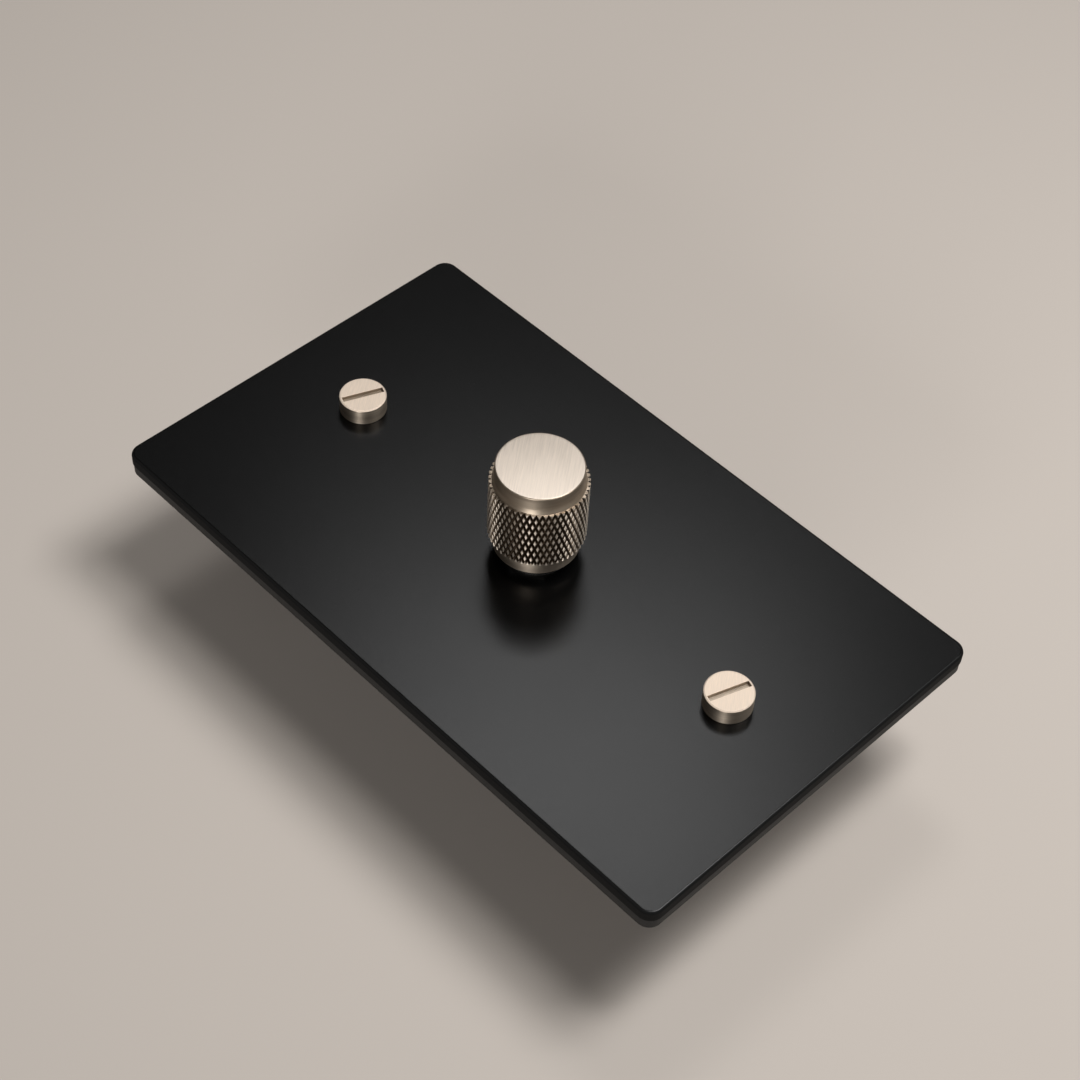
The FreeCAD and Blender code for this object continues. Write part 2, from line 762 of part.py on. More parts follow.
def make_bush_nut():
    body = new_body("bush_nut")
    corners = []
    for step in range(6):
        angle = f"({60 * step} deg)"
        corners.append((f"{NUT_CORNERS} / 2 * cos{angle}", f"{NUT_CORNERS} / 2 * sin{angle}"))
    hole = circle("0", "0", "(dim.bush_diameter + 2 * dim.thread_gap)")
    pad(body, "nut_hexagon", [polygon(*corners), hole], NUT_BASE, "dim.nut_thick")
    chamfer(body, "nut_mouth", "dim.nut_chamfer", lambda edge: edge.isClosed())
    keep(body)


# Potentiometer


def make_pot_case():
    body = new_body("pot_case")
    side = f"(2 * {POT_HALF})"
    height = f"({BUSH_BASE} - {POT_BASE})"
    pad(body, "pot_block", [centred(side, side)], POT_BASE, height)
    pocket(body, "pot_cavity", [circle("0", "0", f"(2 * {POT_CAVITY})")], BUSH_BASE,
           f"{BUSH_BASE} - {WAFER_BASE}")
    holes = [circle("0", "0", SHAFT_HOLE)]
    for column in (-1, 0, 1):
        holes.append(circle(f"{column} * dim.pin_pitch", PIN_Y, "(dim.pin_diameter + 2 * dim.pin_gap)"))
    pocket(body, "pot_holes", holes, WAFER_BASE, "dim.pot_floor")
    # The stop that the rotor's lug meets at both ends of its turn
    stop = rectangle("-dim.lug_width / 2", "dim.lug_width / 2",
                     "dim.rotor_diameter / 2 + dim.stop_clearance", f"{POT_CAVITY} + dim.pot_wall / 2")
    pad(body, "turn_stop", [stop], ROTOR_BASE, "dim.rotor_thick")
    keep(body)


def make_track_wafer():
    body = new_body("track_wafer")
    outer = f"(2 * ({POT_CAVITY} - dim.wafer_gap))"
    pad(body, "wafer_disc", [circle("0", "0", outer), circle("0", "0", SHAFT_HOLE)], WAFER_BASE,
        "dim.wafer_thick")
    keep(body)


def make_pot_pins():
    pins = []
    for name, column in (("pot_pin_left", -1), ("pot_pin_middle", 0), ("pot_pin_right", 1)):
        pins.append(cylinder(name, "dim.pin_diameter / 2", BOARD_TOP, f"{WAFER_BASE} - {BOARD_TOP}",
                             f"{column} * dim.pin_pitch", PIN_Y))
    keep(group("pot_pins", pins))


def make_pot_rotor():
    """A disc that the shaft's flats drive, with a lug opposite the stop at mid turn."""
    body = new_body("rotor_disc")
    pad(body, "rotor_round", [circle("0", "0", "dim.rotor_diameter")], ROTOR_BASE, "dim.rotor_thick")
    lug = rectangle("-dim.lug_width / 2", "dim.lug_width / 2", "-dim.rotor_diameter / 2 - dim.lug_reach",
                    "-dim.rotor_diameter / 2 + dim.lug_reach")
    pad(body, "rotor_lug", [lug], ROTOR_BASE, "dim.rotor_thick")
    reach = "(dim.shaft_diameter / 2 + dim.run_fit)"
    gap = "(dim.shaft_across_flats + 2 * dim.run_fit)"
    bore = cylinder("rotor_bore", reach, ROTOR_BASE, "dim.rotor_thick")
    flats = slab("rotor_flats_room", f"-{gap} / 2", gap, f"(2 * {reach})", ROTOR_BASE, "dim.rotor_thick")
    hole = combine("Part::Common", "rotor_hole", bore, flats)
    keep(combine("Part::Cut", "pot_rotor", body, hole))


def make_wiper():
    body = new_body("wiper")
    loops = [circle("0", "0", "dim.wiper_outer"), circle("0", "0", "dim.wiper_inner")]
    pad(body, "wiper_ring", loops, WIPER_BASE, "dim.wiper_thick")
    middle = "((dim.wiper_outer + dim.wiper_inner) / 4)"
    tips = [circle("0", f"{sign}{middle}", "dim.wiper_tip") for sign in ("", "-")]
    pad(body, "wiper_tips", tips, f"{WIPER_BASE} - dim.wiper_drop", "dim.wiper_drop")
    keep(body)


# Push switch


def make_switch_housing():
    body = new_body("switch_housing")
    pad(body, "switch_block", [centred("dim.switch_width", "dim.switch_depth")], BOARD_TOP,
        "dim.switch_height")
    room = centred("(dim.switch_width - 2 * dim.switch_wall)", "(dim.switch_depth - 2 * dim.switch_wall)")
    pocket(body, "switch_room", [room], BOARD_TOP, "dim.switch_height - dim.switch_wall", Reversed=True)
    guide = circle("0", "0", "(dim.plunger_diameter + 2 * dim.plunger_fit)")
    pocket(body, "switch_guide", [guide], SWITCH_TOP, "dim.switch_wall")
    keep(body)


def make_switch_plunger():
    stem = "(dim.plunger_diameter / 2)"
    flange = "(dim.plunger_flange / 2)"
    body = turned(
        "switch_plunger",
        ("0", FLANGE_BASE),
        (flange, FLANGE_BASE),
        (flange, FLANGE_TOP),
        (stem, FLANGE_TOP),
        (stem, PLUNGER_TOP),
        ("0", PLUNGER_TOP),
    )
    keep(body)


def make_contact_bridge():
    body = new_body("contact_bridge")
    base = f"({FLANGE_BASE} - dim.bridge_thick)"
    pad(body, "bridge_strip", [centred("dim.bridge_length", "dim.bridge_width")], base, "dim.bridge_thick")
    pad(body, "bridge_ring", [circle("0", "0", "dim.plunger_flange")], base, "dim.bridge_thick")
    room = "(dim.spring_diameter + dim.spring_wire + 2 * dim.bridge_room)"
    pocket(body, "bridge_hole", [circle("0", "0", room)], FLANGE_BASE, "dim.bridge_thick")
    keep(body)


def make_switch_contacts():
    stem = "(dim.contact_stem / 2)"
    head = "(dim.contact_head / 2)"
    under = f"({CONTACT_TOP} - dim.contact_head_thick)"
    contacts = []
    for name, sign in (("contact_left", "-"), ("contact_right", "")):
        body = turned(
            name,
            ("0", BOARD_TOP),
            (stem, BOARD_TOP),
            (stem, under),
            (head, under),
            (head, CONTACT_TOP),
            ("0", CONTACT_TOP),
        )
        place(body, x=f"{sign}{CONTACT_X}")
        contacts.append(body)
    keep(group("switch_contacts", contacts))


def make_return_spring():
    low = f"({BOARD_TOP} + dim.spring_wire / 2 + dim.spring_gap)"
    height = f"({FLANGE_BASE} - dim.spring_wire / 2 - dim.spring_gap - {low})"
    line = doc.addObject("Part::Helix", "spring_line")
    line.setExpression("Radius", "dim.spring_diameter / 2")
    line.setExpression("Height", height)
    line.setExpression("Pitch", f"{height} / dim.spring_turns")
    place(line, z=low)
    section = doc.addObject("Part::Circle", "spring_section")
    section.setExpression("Radius", "dim.spring_wire / 2")
    section.Placement = FreeCAD.Placement(FreeCAD.Vector(), FreeCAD.Rotation(FreeCAD.Vector(1, 0, 0), 90))
    place(section, x="dim.spring_diameter / 2", z=low)
    spring = doc.addObject("Part::Sweep", "return_spring")
    spring.Sections = [section]
    spring.Spine = (line, [])
    spring.Solid = True
    spring.Frenet = True
    keep(spring)


# Heat sink and module case


def make_heat_sink():
    body = new_body("heat_sink")
    screw_hole = "(dim.case_screw + 2 * dim.case_screw_gap)"
    rivet_hole = "(dim.rivet_diameter + 2 * dim.rivet_gap)"
    loops = [rounded(SINK_WIDTH, SINK_LENGTH, "dim.case_corner"), circle("0", "0", BUSH_HOLE)]
    for x in (CASE_SCREW_X, f"-{CASE_SCREW_X}"):
        for y in (CASE_SCREW_Y, f"-{CASE_SCREW_Y}"):
            loops.append(circle(x, y, screw_hole))
    loops.append(circle(TRIAC_X, RIVET_Y, rivet_hole))
    pad(body, "sink_sheet", loops, SINK_BASE, "dim.sink_thick")
    widest = value(f"max({screw_hole}; {rivet_hole})") / 2

    def sunk(edge):
        small = edge.isClosed() and edge.Curve.Radius <= widest + 1e-6
        return small and at_level(edge, "dim.backing_thick")

    chamfer(body, "sink_countersinks", "dim.countersink", sunk)
    keep(body)


def countersunk_head(shank):
    """Profile corners of a flush head in a countersunk hole, down to its shank."""
    top = "(dim.backing_thick - dim.flush_gap)"
    neck = f"({top} - dim.countersink)"
    return [(shank, neck), (f"{shank} + dim.countersink", top), ("0", top)]


def make_case_screws():
    shank = "(dim.case_screw / 2)"
    end = f"({SINK_BASE} - dim.case_screw_grip)"
    screws = []
    for side, x in (("right", CASE_SCREW_X), ("left", f"-{CASE_SCREW_X}")):
        for place_name, y in (("upper", CASE_SCREW_Y), ("lower", f"-{CASE_SCREW_Y}")):
            head = countersunk_head(shank)
            body = turned(f"case_screw_{place_name}_{side}", ("0", end), (shank, end), *head)
            place(body, x, y)
            screws.append(body)
    keep(group("case_screws", screws))


def make_module_case():
    body = new_body("module_case")
    outline = rounded("dim.case_width", "dim.case_length", "dim.case_corner")
    pad(body, "case_block", [outline], CASE_BASE, f"{SINK_BASE} - {CASE_BASE}")
    fillet(body, "case_rear_edge", "dim.case_round", lambda edge: at_level(edge, CASE_BASE))
    # The upper room keeps a screw pillar in each corner; the lower one stops at the terminal bays
    upper = polygon(
        (f"-{PILLAR_X}", f"-{INNER_Y}"),
        (PILLAR_X, f"-{INNER_Y}"),
        (PILLAR_X, f"-{PILLAR_Y}"),
        (INNER_X, f"-{PILLAR_Y}"),
        (INNER_X, PILLAR_Y),
        (PILLAR_X, PILLAR_Y),
        (PILLAR_X, INNER_Y),
        (f"-{PILLAR_X}", INNER_Y),
        (f"-{PILLAR_X}", PILLAR_Y),
        (f"-{INNER_X}", PILLAR_Y),
        (f"-{INNER_X}", f"-{PILLAR_Y}"),
        (f"-{PILLAR_X}", f"-{PILLAR_Y}"),
    )
    pocket(body, "upper_room", [upper], SINK_BASE, f"{SINK_BASE} - {SHELF_TOP}")
    lower = polygon(
        (f"-{INNER_X}", BAY_INNER),
        (INNER_X, BAY_INNER),
        (INNER_X, PILLAR_Y),
        (PILLAR_X, PILLAR_Y),
        (PILLAR_X, INNER_Y),
        (f"-{PILLAR_X}", INNER_Y),
        (f"-{PILLAR_X}", PILLAR_Y),
        (f"-{INNER_X}", PILLAR_Y),
    )
    pocket(body, "lower_room", [lower], SHELF_TOP, f"{SHELF_TOP} - {CASE_FLOOR}")
    ledges = [
        rectangle(f"{INNER_X} - dim.ledge", INNER_X, BAY_INNER, PILLAR_Y),
        rectangle(f"-{INNER_X}", f"-{INNER_X} + dim.ledge", BAY_INNER, PILLAR_Y),
    ]
    pad(body, "board_ledges", ledges, CASE_FLOOR, "dim.lead_room")
    bays, slots = [], []
    for column in (-1, 0, 1):
        x = f"({column} * dim.terminal_pitch)"
        half = "(dim.terminal_width / 2 + dim.bay_gap)"
        outside = "(-dim.case_length / 2 - dim.bay_wall)"
        bays.append(rectangle(f"{x} - {half}", f"{x} + {half}", outside, BAY_BACK))
        reach = "(dim.tail_width / 2 + dim.bay_gap)"
        slots.append(rectangle(f"{x} - {reach}", f"{x} + {reach}", f"{BOARD_TOP} - dim.bay_gap",
                               f"{BOARD_TOP} + dim.tail_thick + dim.bay_gap"))
    pocket(body, "terminal_bays", bays, CASE_BASE, f"{BAY_TOP} - {CASE_BASE}", Reversed=True)
    pocket(body, "tail_slots", slots, f"-{BAY_INNER}", "dim.bay_wall", "XZ_Plane", Reversed=True)
    pilots = []
    for x in (CASE_SCREW_X, f"-{CASE_SCREW_X}"):
        for y in (CASE_SCREW_Y, f"-{CASE_SCREW_Y}"):
            pilots.append(circle(x, y, "(dim.case_screw + 2 * dim.case_screw_gap)"))
    pocket(body, "screw_pilots", pilots, SINK_BASE, "dim.case_screw_grip + dim.countersink")
    # Vent slots through both long walls, spread evenly about the middle
    start = "(-(dim.vent_count - 1) * dim.vent_pitch / 2)"
    high = f"({SINK_BASE} - dim.vent_drop)"
    slot = rectangle(f"{start} - dim.vent_width / 2", f"{start} + dim.vent_width / 2",
                     f"{high} - dim.vent_height", high)
    vent = pocket(body, "vent_slot", [slot], "0", "dim.case_width + dim.case_wall", "YZ_Plane",
                  SideType="Symmetric")
    vents = body.newObject("PartDesign::LinearPattern", "vent_slots")
    vents.Originals = [vent]
    vents.Direction = (vent.Profile[0], ["H_Axis"])
    vents.setExpression("Length", "(dim.vent_count - 1) * dim.vent_pitch")
    vents.setExpression("Occurrences", "dim.vent_count")
    body.Tip = vents
    keep(body)


# Terminals


def make_terminal(name, column):
    """A block with a blind wire bore facing -Y, a clamp screw hole from the rear and a solder tail."""
    body = new_body(f"terminal_block_{name}")
    width, depth = "dim.terminal_width", "dim.terminal_depth"
    back = f"({TERMINAL_FRONT} + {depth})"
    x = f"({column} * dim.terminal_pitch)"
    block = rectangle(f"{x} - {width} / 2", f"{x} + {width} / 2", TERMINAL_FRONT, back)
    pad(body, f"block_{name}", [block], TERMINAL_BASE, "dim.terminal_height")
    tail = rectangle(f"{x} - dim.tail_width / 2", f"{x} + dim.tail_width / 2", back,
                     f"{BOARD_END} + dim.tail_lap")
    pad(body, f"tail_{name}", [tail], BOARD_TOP, "dim.tail_thick")
    bore_z = f"({TERMINAL_BASE} + dim.terminal_height - dim.terminal_bore_drop)"
    pocket(body, f"wire_bore_{name}", [circle(x, bore_z, "dim.terminal_bore")], f"-{TERMINAL_FRONT}",
           f"{depth} - dim.terminal_back", "XZ_Plane")
    screw_hole = "(dim.terminal_screw + 2 * dim.run_fit)"
    middle = f"({TERMINAL_FRONT} + {depth} / 2)"
    pocket(body, f"clamp_hole_{name}", [circle(x, middle, screw_hole)], TERMINAL_BASE,
           f"{bore_z} - {TERMINAL_BASE}", Reversed=True)
    radius = "(dim.terminal_screw / 2)"
    tip = f"({bore_z} - dim.terminal_bore / 2 - dim.terminal_screw_gap)"
    low = f"({tip} - dim.terminal_screw_length)"
    screw = turned(f"terminal_screw_{name}", ("0", low), (radius, low), (radius, tip), ("0", tip))
    slot = centred("(2 * dim.terminal_screw)", "dim.terminal_slot")
    pocket(screw, f"clamp_slot_{name}", [slot], low, "dim.terminal_slot", Reversed=True)
    place(screw, x, middle)
    return body, screw


def make_terminals():
    pairs = [make_terminal(name, column) for name, column in (("left", -1), ("middle", 0), ("right", 1))]
    keep(group("terminal_blocks", [block for block, _ in pairs]))
    keep(group("terminal_screws", [screw for _, screw in pairs]))


# Circuit board and its components


def make_circuit_board():
    body = new_body("circuit_board")
    side = f"({INNER_X} - dim.board_gap)"
    end = f"({INNER_Y} - dim.board_gap)"
    notch_x = f"({PILLAR_X} - dim.board_gap)"
    notch_y = f"({PILLAR_Y} - dim.board_gap)"
    outline = polygon(
        (f"-{side}", BOARD_END),
        (side, BOARD_END),
        (side, notch_y),
        (notch_x, notch_y),
        (notch_x, end),
        (f"-{notch_x}", end),
        (f"-{notch_x}", notch_y),
        (f"-{side}", notch_y),
    )
    pad(body, "board_sheet", [outline], BOARD_BASE, "dim.board_thick")
    keep(body)


def make_choke():
    """A toroid lying on the board, with square wire turns looped round it."""
    base = f"({BOARD_TOP} + dim.choke_wire + dim.winding_gap)"
    core = new_body("choke_core")
    loops = [circle("0", CHOKE_Y, "dim.choke_outer"), circle("0", CHOKE_Y, "dim.choke_inner")]
    pad(core, "core_ring", loops, base, "dim.choke_height")
    keep(core)

    wire, gap = value("dim.choke_wire"), value("dim.winding_gap")
    inner, outer = value("dim.choke_inner") / 2 - gap, value("dim.choke_outer") / 2 + gap
    low, high = value(base) - gap, value(base) + value("dim.choke_height") + gap
    turns = round(value("dim.choke_turns"))

    def frame(grow):
        box = Part.makeBox(outer - inner + 2 * grow, wire, high - low + 2 * grow)
        box.translate(FreeCAD.Vector(inner - grow, -wire / 2, low - grow))
        return box

    loop = frame(wire).cut(frame(0))
    copies = []
    for turn in range(turns):
        copy = loop.copy()
        copy.rotate(FreeCAD.Vector(), FreeCAD.Vector(0, 0, 1), 360 * turn / turns)
        copies.append(copy)
    winding = doc.addObject("Part::Feature", "choke_winding")
    winding.Shape = Part.makeCompound(copies)
    winding.Placement = FreeCAD.Placement(FreeCAD.Vector(0, value(CHOKE_Y), 0), FreeCAD.Rotation())
    keep(winding)


def make_film_capacitor():
    body = new_body("film_capacitor")
    outline = rectangle("-dim.part_gap / 2 - dim.capacitor_length", "-dim.part_gap / 2",
                        f"{PARTS_Y} - dim.capacitor_depth", PARTS_Y)
    pad(body, "capacitor_box", [outline], BOARD_TOP, "dim.capacitor_height")
    fillet(body, "capacitor_edges", "dim.capacitor_round", lambda edge: not at_level(edge, BOARD_TOP))
    keep(body)


def lie_along_x(body, y, z):
    """Turn a solid of revolution so that its axis runs along +X from beside the capacitor."""
    body.Placement = FreeCAD.Placement(FreeCAD.Vector(), FreeCAD.Rotation(FreeCAD.Vector(0, 1, 0), 90))
    place(body, "dim.part_gap / 2", y, z)


def make_fuse():
    cap_radius = "(dim.fuse_diameter / 2 + dim.fuse_fit + dim.fuse_cap_wall)"
    bore = "(dim.fuse_diameter / 2 + dim.fuse_fit)"
    y = f"({PARTS_Y} - {cap_radius})"
    z = f"({BOARD_TOP} + {cap_radius} + dim.fuse_fit)"
    tube_radius = "(dim.fuse_diameter / 2)"
    wall = "(dim.fuse_cap_wall + dim.fuse_fit)"
    tube = turned(
        "fuse_tube",
        ("0", wall),
        (tube_radius, wall),
        (tube_radius, f"dim.fuse_length - {wall}"),
        ("0", f"dim.fuse_length - {wall}"),
    )
    lie_along_x(tube, y, z)
    keep(tube)
    caps = []
    ends = (("near", "0", "dim.fuse_cap_wall", "dim.fuse_cap_length"),
            ("far", "dim.fuse_length", "dim.fuse_length - dim.fuse_cap_wall",
             "dim.fuse_length - dim.fuse_cap_length"))
    for name, end, inside, lip in ends:
        cap = turned(f"fuse_cap_{name}", ("0", end), (cap_radius, end), (cap_radius, lip), (bore, lip),
                     (bore, inside), ("0", inside))
        lie_along_x(cap, y, z)
        caps.append(cap)
    keep(group("fuse_caps", caps))


def make_triac():
    """A package whose metal tab lies on the heat sink, riveted, with its legs bent down to the board."""
    tab_base = f"({SINK_BASE} - dim.triac_tab)"
    left = f"({TRIAC_X} - dim.triac_width / 2)"
    right = f"({TRIAC_X} + dim.triac_width / 2)"
    tab = new_body("triac_tab_plate")
    hole = circle(TRIAC_X, RIVET_Y, "(dim.rivet_diameter + 2 * dim.rivet_gap)")
    pad(tab, "tab_sheet", [rectangle(left, right, TRIAC_START, TRIAC_END), hole], tab_base, "dim.triac_tab")
    mould = new_body("triac_mould")
    pad(mould, "mould_block", [rectangle(left, right, f"{TRIAC_END} - dim.triac_mould_length", TRIAC_END)],
        f"{tab_base} - dim.triac_mould_thick", "dim.triac_mould_thick")
    chamfer(mould, "mould_edges", "dim.leg_thick", upright)
    keep(mould)
    high = f"({tab_base} - dim.leg_drop)"
    far = f"({TRIAC_END} + dim.leg_out)"
    pieces = [tab]
    for name, column in (("left", -1), ("middle", 0), ("right", 1)):
        leg = new_body(f"triac_leg_{name}")
        bend = polygon(
            (TRIAC_END, high),
            (far, high),
            (far, BOARD_TOP),
            (f"{far} - dim.leg_thick", BOARD_TOP),
            (f"{far} - dim.leg_thick", f"{high} - dim.leg_thick"),
            (TRIAC_END, f"{high} - dim.leg_thick"),
        )
        pad(leg, f"leg_bend_{name}", [bend], f"{TRIAC_X} + {column} * dim.leg_pitch", "dim.leg_width",
            "YZ_Plane", SideType="Symmetric")
        pieces.append(leg)
    keep(group("triac_leadframe", pieces))
    shank = "(dim.rivet_diameter / 2)"
    head = "(dim.rivet_head / 2)"
    low = f"({tab_base} - dim.rivet_head_thick)"
    flare = countersunk_head(shank)
    rivet = turned("triac_rivet", ("0", low), (head, low), (head, tab_base), (shank, tab_base), *flare)
    place(rivet, TRIAC_X, RIVET_Y)
    keep(rivet)


def check_model():
    """Stop on a failed object, a cut that removed nothing, or a sub-part with no sound shape."""
    for item in doc.Objects:
        if {"Invalid", "Error"} & set(item.State):
            raise RuntimeError(f"{item.Name} failed")
        if item.TypeId == "PartDesign::Pocket" and item.Shape.Volume >= item.BaseFeature.Shape.Volume:
            raise RuntimeError(f"{item.Name} cuts nothing")
    for item in SUB_PARTS:
        if item.Shape.isNull() or not item.Shape.isValid() or not item.Shape.Solids:
            raise RuntimeError(f"{item.Label} has no sound shape")


make_front_plate()
make_backing_frame()
make_fixing_screws()
make_knob()
make_knob_insert()
make_control_shaft()
make_shaft_clip()
make_pot_bush()
make_bush_washer()
make_bush_nut()
make_pot_case()
make_track_wafer()
make_pot_pins()
make_pot_rotor()
make_wiper()
make_switch_housing()
make_switch_plunger()
make_contact_bridge()
make_switch_contacts()
make_return_spring()
make_heat_sink()
make_case_screws()
make_module_case()
make_terminals()
make_circuit_board()
make_choke()
make_film_capacitor()
make_fuse()
make_triac()
doc.recompute()
check_model()

os.makedirs("parts", exist_ok=True)
for sub_part in SUB_PARTS:
    sub_part.Shape.exportStep(f"parts/{sub_part.Label}.step")
    print(f"{sub_part.Label}: {len(sub_part.Shape.Solids)} solids, {sub_part.Shape.Volume:.1f} mm3")
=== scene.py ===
"""Rotary dimmer switch: a satin black wall plate with a knurled push knob.

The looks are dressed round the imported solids. Lengths in the constants are millimetres, and MM
turns them into the frame's metres.
"""
import math

import bmesh
import bpy
from mathutils import Matrix, Vector


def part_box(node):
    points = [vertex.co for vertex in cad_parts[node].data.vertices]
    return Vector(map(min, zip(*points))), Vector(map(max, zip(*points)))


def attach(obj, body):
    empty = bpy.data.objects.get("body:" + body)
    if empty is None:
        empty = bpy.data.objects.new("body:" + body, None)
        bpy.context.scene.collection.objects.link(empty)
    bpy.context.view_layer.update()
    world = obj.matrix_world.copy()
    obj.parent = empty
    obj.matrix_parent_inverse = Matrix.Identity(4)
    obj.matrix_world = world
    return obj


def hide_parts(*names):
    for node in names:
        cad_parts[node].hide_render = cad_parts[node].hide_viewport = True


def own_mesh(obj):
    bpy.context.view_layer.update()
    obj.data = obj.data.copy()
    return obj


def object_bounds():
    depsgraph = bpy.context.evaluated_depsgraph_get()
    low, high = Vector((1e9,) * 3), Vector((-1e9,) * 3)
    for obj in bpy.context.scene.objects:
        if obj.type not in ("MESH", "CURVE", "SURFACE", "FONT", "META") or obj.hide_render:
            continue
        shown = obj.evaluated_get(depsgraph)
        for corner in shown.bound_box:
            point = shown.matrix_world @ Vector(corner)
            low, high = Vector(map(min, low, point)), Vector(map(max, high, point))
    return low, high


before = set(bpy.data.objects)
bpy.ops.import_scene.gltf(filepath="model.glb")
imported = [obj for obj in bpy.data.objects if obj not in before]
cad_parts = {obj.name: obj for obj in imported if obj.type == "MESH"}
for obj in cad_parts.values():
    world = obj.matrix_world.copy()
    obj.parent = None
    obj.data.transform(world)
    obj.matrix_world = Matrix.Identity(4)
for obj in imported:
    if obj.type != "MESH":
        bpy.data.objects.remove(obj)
cad_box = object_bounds()

MM = 0.001
FULL_TURN = 2 * math.pi
MERGE_GAP = 0.002
# Room for rounding where a face is told from its neighbour by its place
SEAM = 0.01
TINY = 1e-9

# Front plate: depths below its face between which its arris turns from satin to dull
PLATE_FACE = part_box("front_plate")[1].z / MM
ARRIS_SATIN = 0.006
ARRIS_DULL = 0.1

# Knob
KNOB_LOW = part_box("knob")[0].z / MM
KNOB_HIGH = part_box("knob")[1].z / MM
KNOB_RADIUS = 7.05
KNOB_SHARP_ANGLE = 32
KNOB_TOP_ROUND = 0.25
KNOB_TOP_STEPS = 6
KNOB_FOOT_ROUND = 0.3
KNOB_FOOT_STEPS = 4
CAP_CROWN = 0.15
CAP_SHARES = (0.97, 0.85, 0.7, 0.55, 0.4, 0.25, 0.1)
CAP_LEAST_NORMAL = 0.98
COLLAR_HEIGHT = 3.0
NECK_HEIGHT = 3.2
SHOULDER_RADIUS = 7.4
SHOULDER_HEIGHT = 0.8
SHOULDER_CURVE = 1.2
SHOULDER_SHARES = (0.0, 0.2, 0.4, 0.6, 0.8, 1.0)
NUT_ROOM_RADIUS = 6.27
NUT_ROOM_CHAMFER = 0.1
NUT_ROOM_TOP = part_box("knob_insert")[0].z / MM
INSERT_BORE_RADIUS = 4.32
INSERT_BORE_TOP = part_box("knob_insert")[1].z / MM

# Cross knurl: each point is one diamond between two right hand and two left hand grooves
KNURL_TEETH = 51
KNURL_ROWS = 9
KNURL_LOW = KNOB_LOW + COLLAR_HEIGHT
KNURL_HIGH = KNOB_HIGH - NECK_HEIGHT
KNURL_LIFT = (KNURL_HIGH - KNURL_LOW) / KNURL_ROWS
KNURL_ROOT = 7.45
KNURL_CREST = 7.89
# (share of the way across a diamond, share of the groove's depth filled)
KNURL_PROFILE = (
    (0.0, 0.0), (0.06, 0.05), (0.25, 0.85), (0.31, 0.96), (0.5, 1.0),
    (0.69, 0.96), (0.75, 0.85), (0.94, 0.05), (1.0, 0.0),
)
# Shares of the groove's depth up to which its painted shade is full, and from which its crest shows
# its lighter, painted-light tone
GROOVE_DARK = 0.68
GROOVE_BRIGHT = 0.95

# Fixing screws
SCREW_LOW, SCREW_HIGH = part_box("fixing_screws")
SCREW_SPACING = 83.3
SCREW_SHARP_ANGLE = 14
HEAD_RADIUS = 3.95
HEAD_TOP = SCREW_HIGH.z / MM
HEAD_CHAMFER = 0.2
HEAD_FOOT_CHAMFER = 0.1
HEAD_FACE_LEAST_NORMAL = 0.3
# (share of the chamfer inwards, share of the chamfer down) round the head's upper rim
HEAD_RIM = ((1.2, 0.0), (0.9, 0.1), (0.1, 0.9), (0.0, 1.2))
SLOT_ANGLES = (158.0, 161.5)
SLOT_LENGTH = 7.1
SLOT_WIDTH = 1.05
SLOT_DEPTH = 0.7
SLOT_FLOOR_CHAMFER = 0.06
SLOT_ARRIS = 0.05
SLOT_ARRIS_SHARE = 0.3
SLOT_QUARTER_STEPS = 22
SHANK_TIP = SCREW_LOW.z / MM
SHANK_NECK_RADIUS = 1.55
THREAD_RADIUS = 1.75
THREAD_TOP = 0.0
THREAD_PITCH = 0.6
THREAD_DEPTH = 0.3
THREAD_FLAT = 0.1
THREAD_STEPS = 6
TIP_CHAMFER = 0.6

# Return spring, between the board and the switch plunger's flange
SPRING_LOW, SPRING_HIGH = (corner.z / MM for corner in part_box("return_spring"))
SPRING_RADIUS = 2.2
SPRING_WIRE = 0.4
SPRING_TURNS = 4.0
SPRING_STEPS = 24
SPRING_SHARP_ANGLE = 40
WIRE_STEPS = 10

# Grain of the finishes: two noises, and the part of their range that is put to use
FINE_SHARE = 0.65
FINE_DETAIL = 3.0
SLOW_SHARE = 0.35
SLOW_DETAIL = 2.0
NOISE_ROUGHNESS = 0.55
NOISE_RANGE = (0.3, 0.7)

# Floor and room
FLOOR_HALF = 1500.0
FLOOR_COLOUR = (0.56, 0.505, 0.455)
FLOOR_ROUGHNESS = 0.9
FLOOR_SPECULAR = 0.1
ROOM_COLOUR = (1.0, 0.97, 0.94)
ROOM_STRENGTH = 0.08
# (name, direction from the plate, distance, side, watts)
SOFTBOXES = (
    ("top_softbox", (0.1, -0.16, 1.0), 1000.0, 180.0, 1.8),
    ("right_softbox", (0.27, -0.28, 0.92), 500.0, 170.0, 1.6),
    ("window_softbox", (0.39, 0.34, 0.855), 1000.0, 265.0, 1.4),
    ("front_softbox", (-0.84, -0.485, 0.25), 2600.0, 715.0, 29.7),
)

# Viewpoint of the photograph
VIEW_AZIMUTH = -46.63
VIEW_ELEVATION = 49.03
VIEW_ROLL = 3.47
VIEW_DISTANCE = 351.7
VIEW_TARGET = (1.68, 0.74, 3.88)
VIEW_LENS = 73.44
VIEW_SENSOR = 36.0
VIEW_NEAREST = 10.0


# Node helpers, for material trees and geometry trees alike


def add(tree, kind, inputs=(), **settings):
    """A node with its settings and inputs; an input is a plain value or another node's output."""
    node = tree.nodes.new(kind)
    for name, setting in settings.items():
        setattr(node, name, setting)
    for key, given in dict(inputs).items():
        if isinstance(given, bpy.types.NodeSocket):
            tree.links.new(given, node.inputs[key])
        else:
            node.inputs[key].default_value = given
    return node


def calc(tree, operation, *values):
    return add(tree, "ShaderNodeMath", enumerate(values), operation=operation).outputs[0]


def spread(tree, source, low, high, to_low, to_high):
    """source from low..high taken to to_low..to_high, clamped."""
    values = enumerate((source, low, high, to_low, to_high))
    return add(tree, "ShaderNodeMapRange", values).outputs[0]


# Finishes


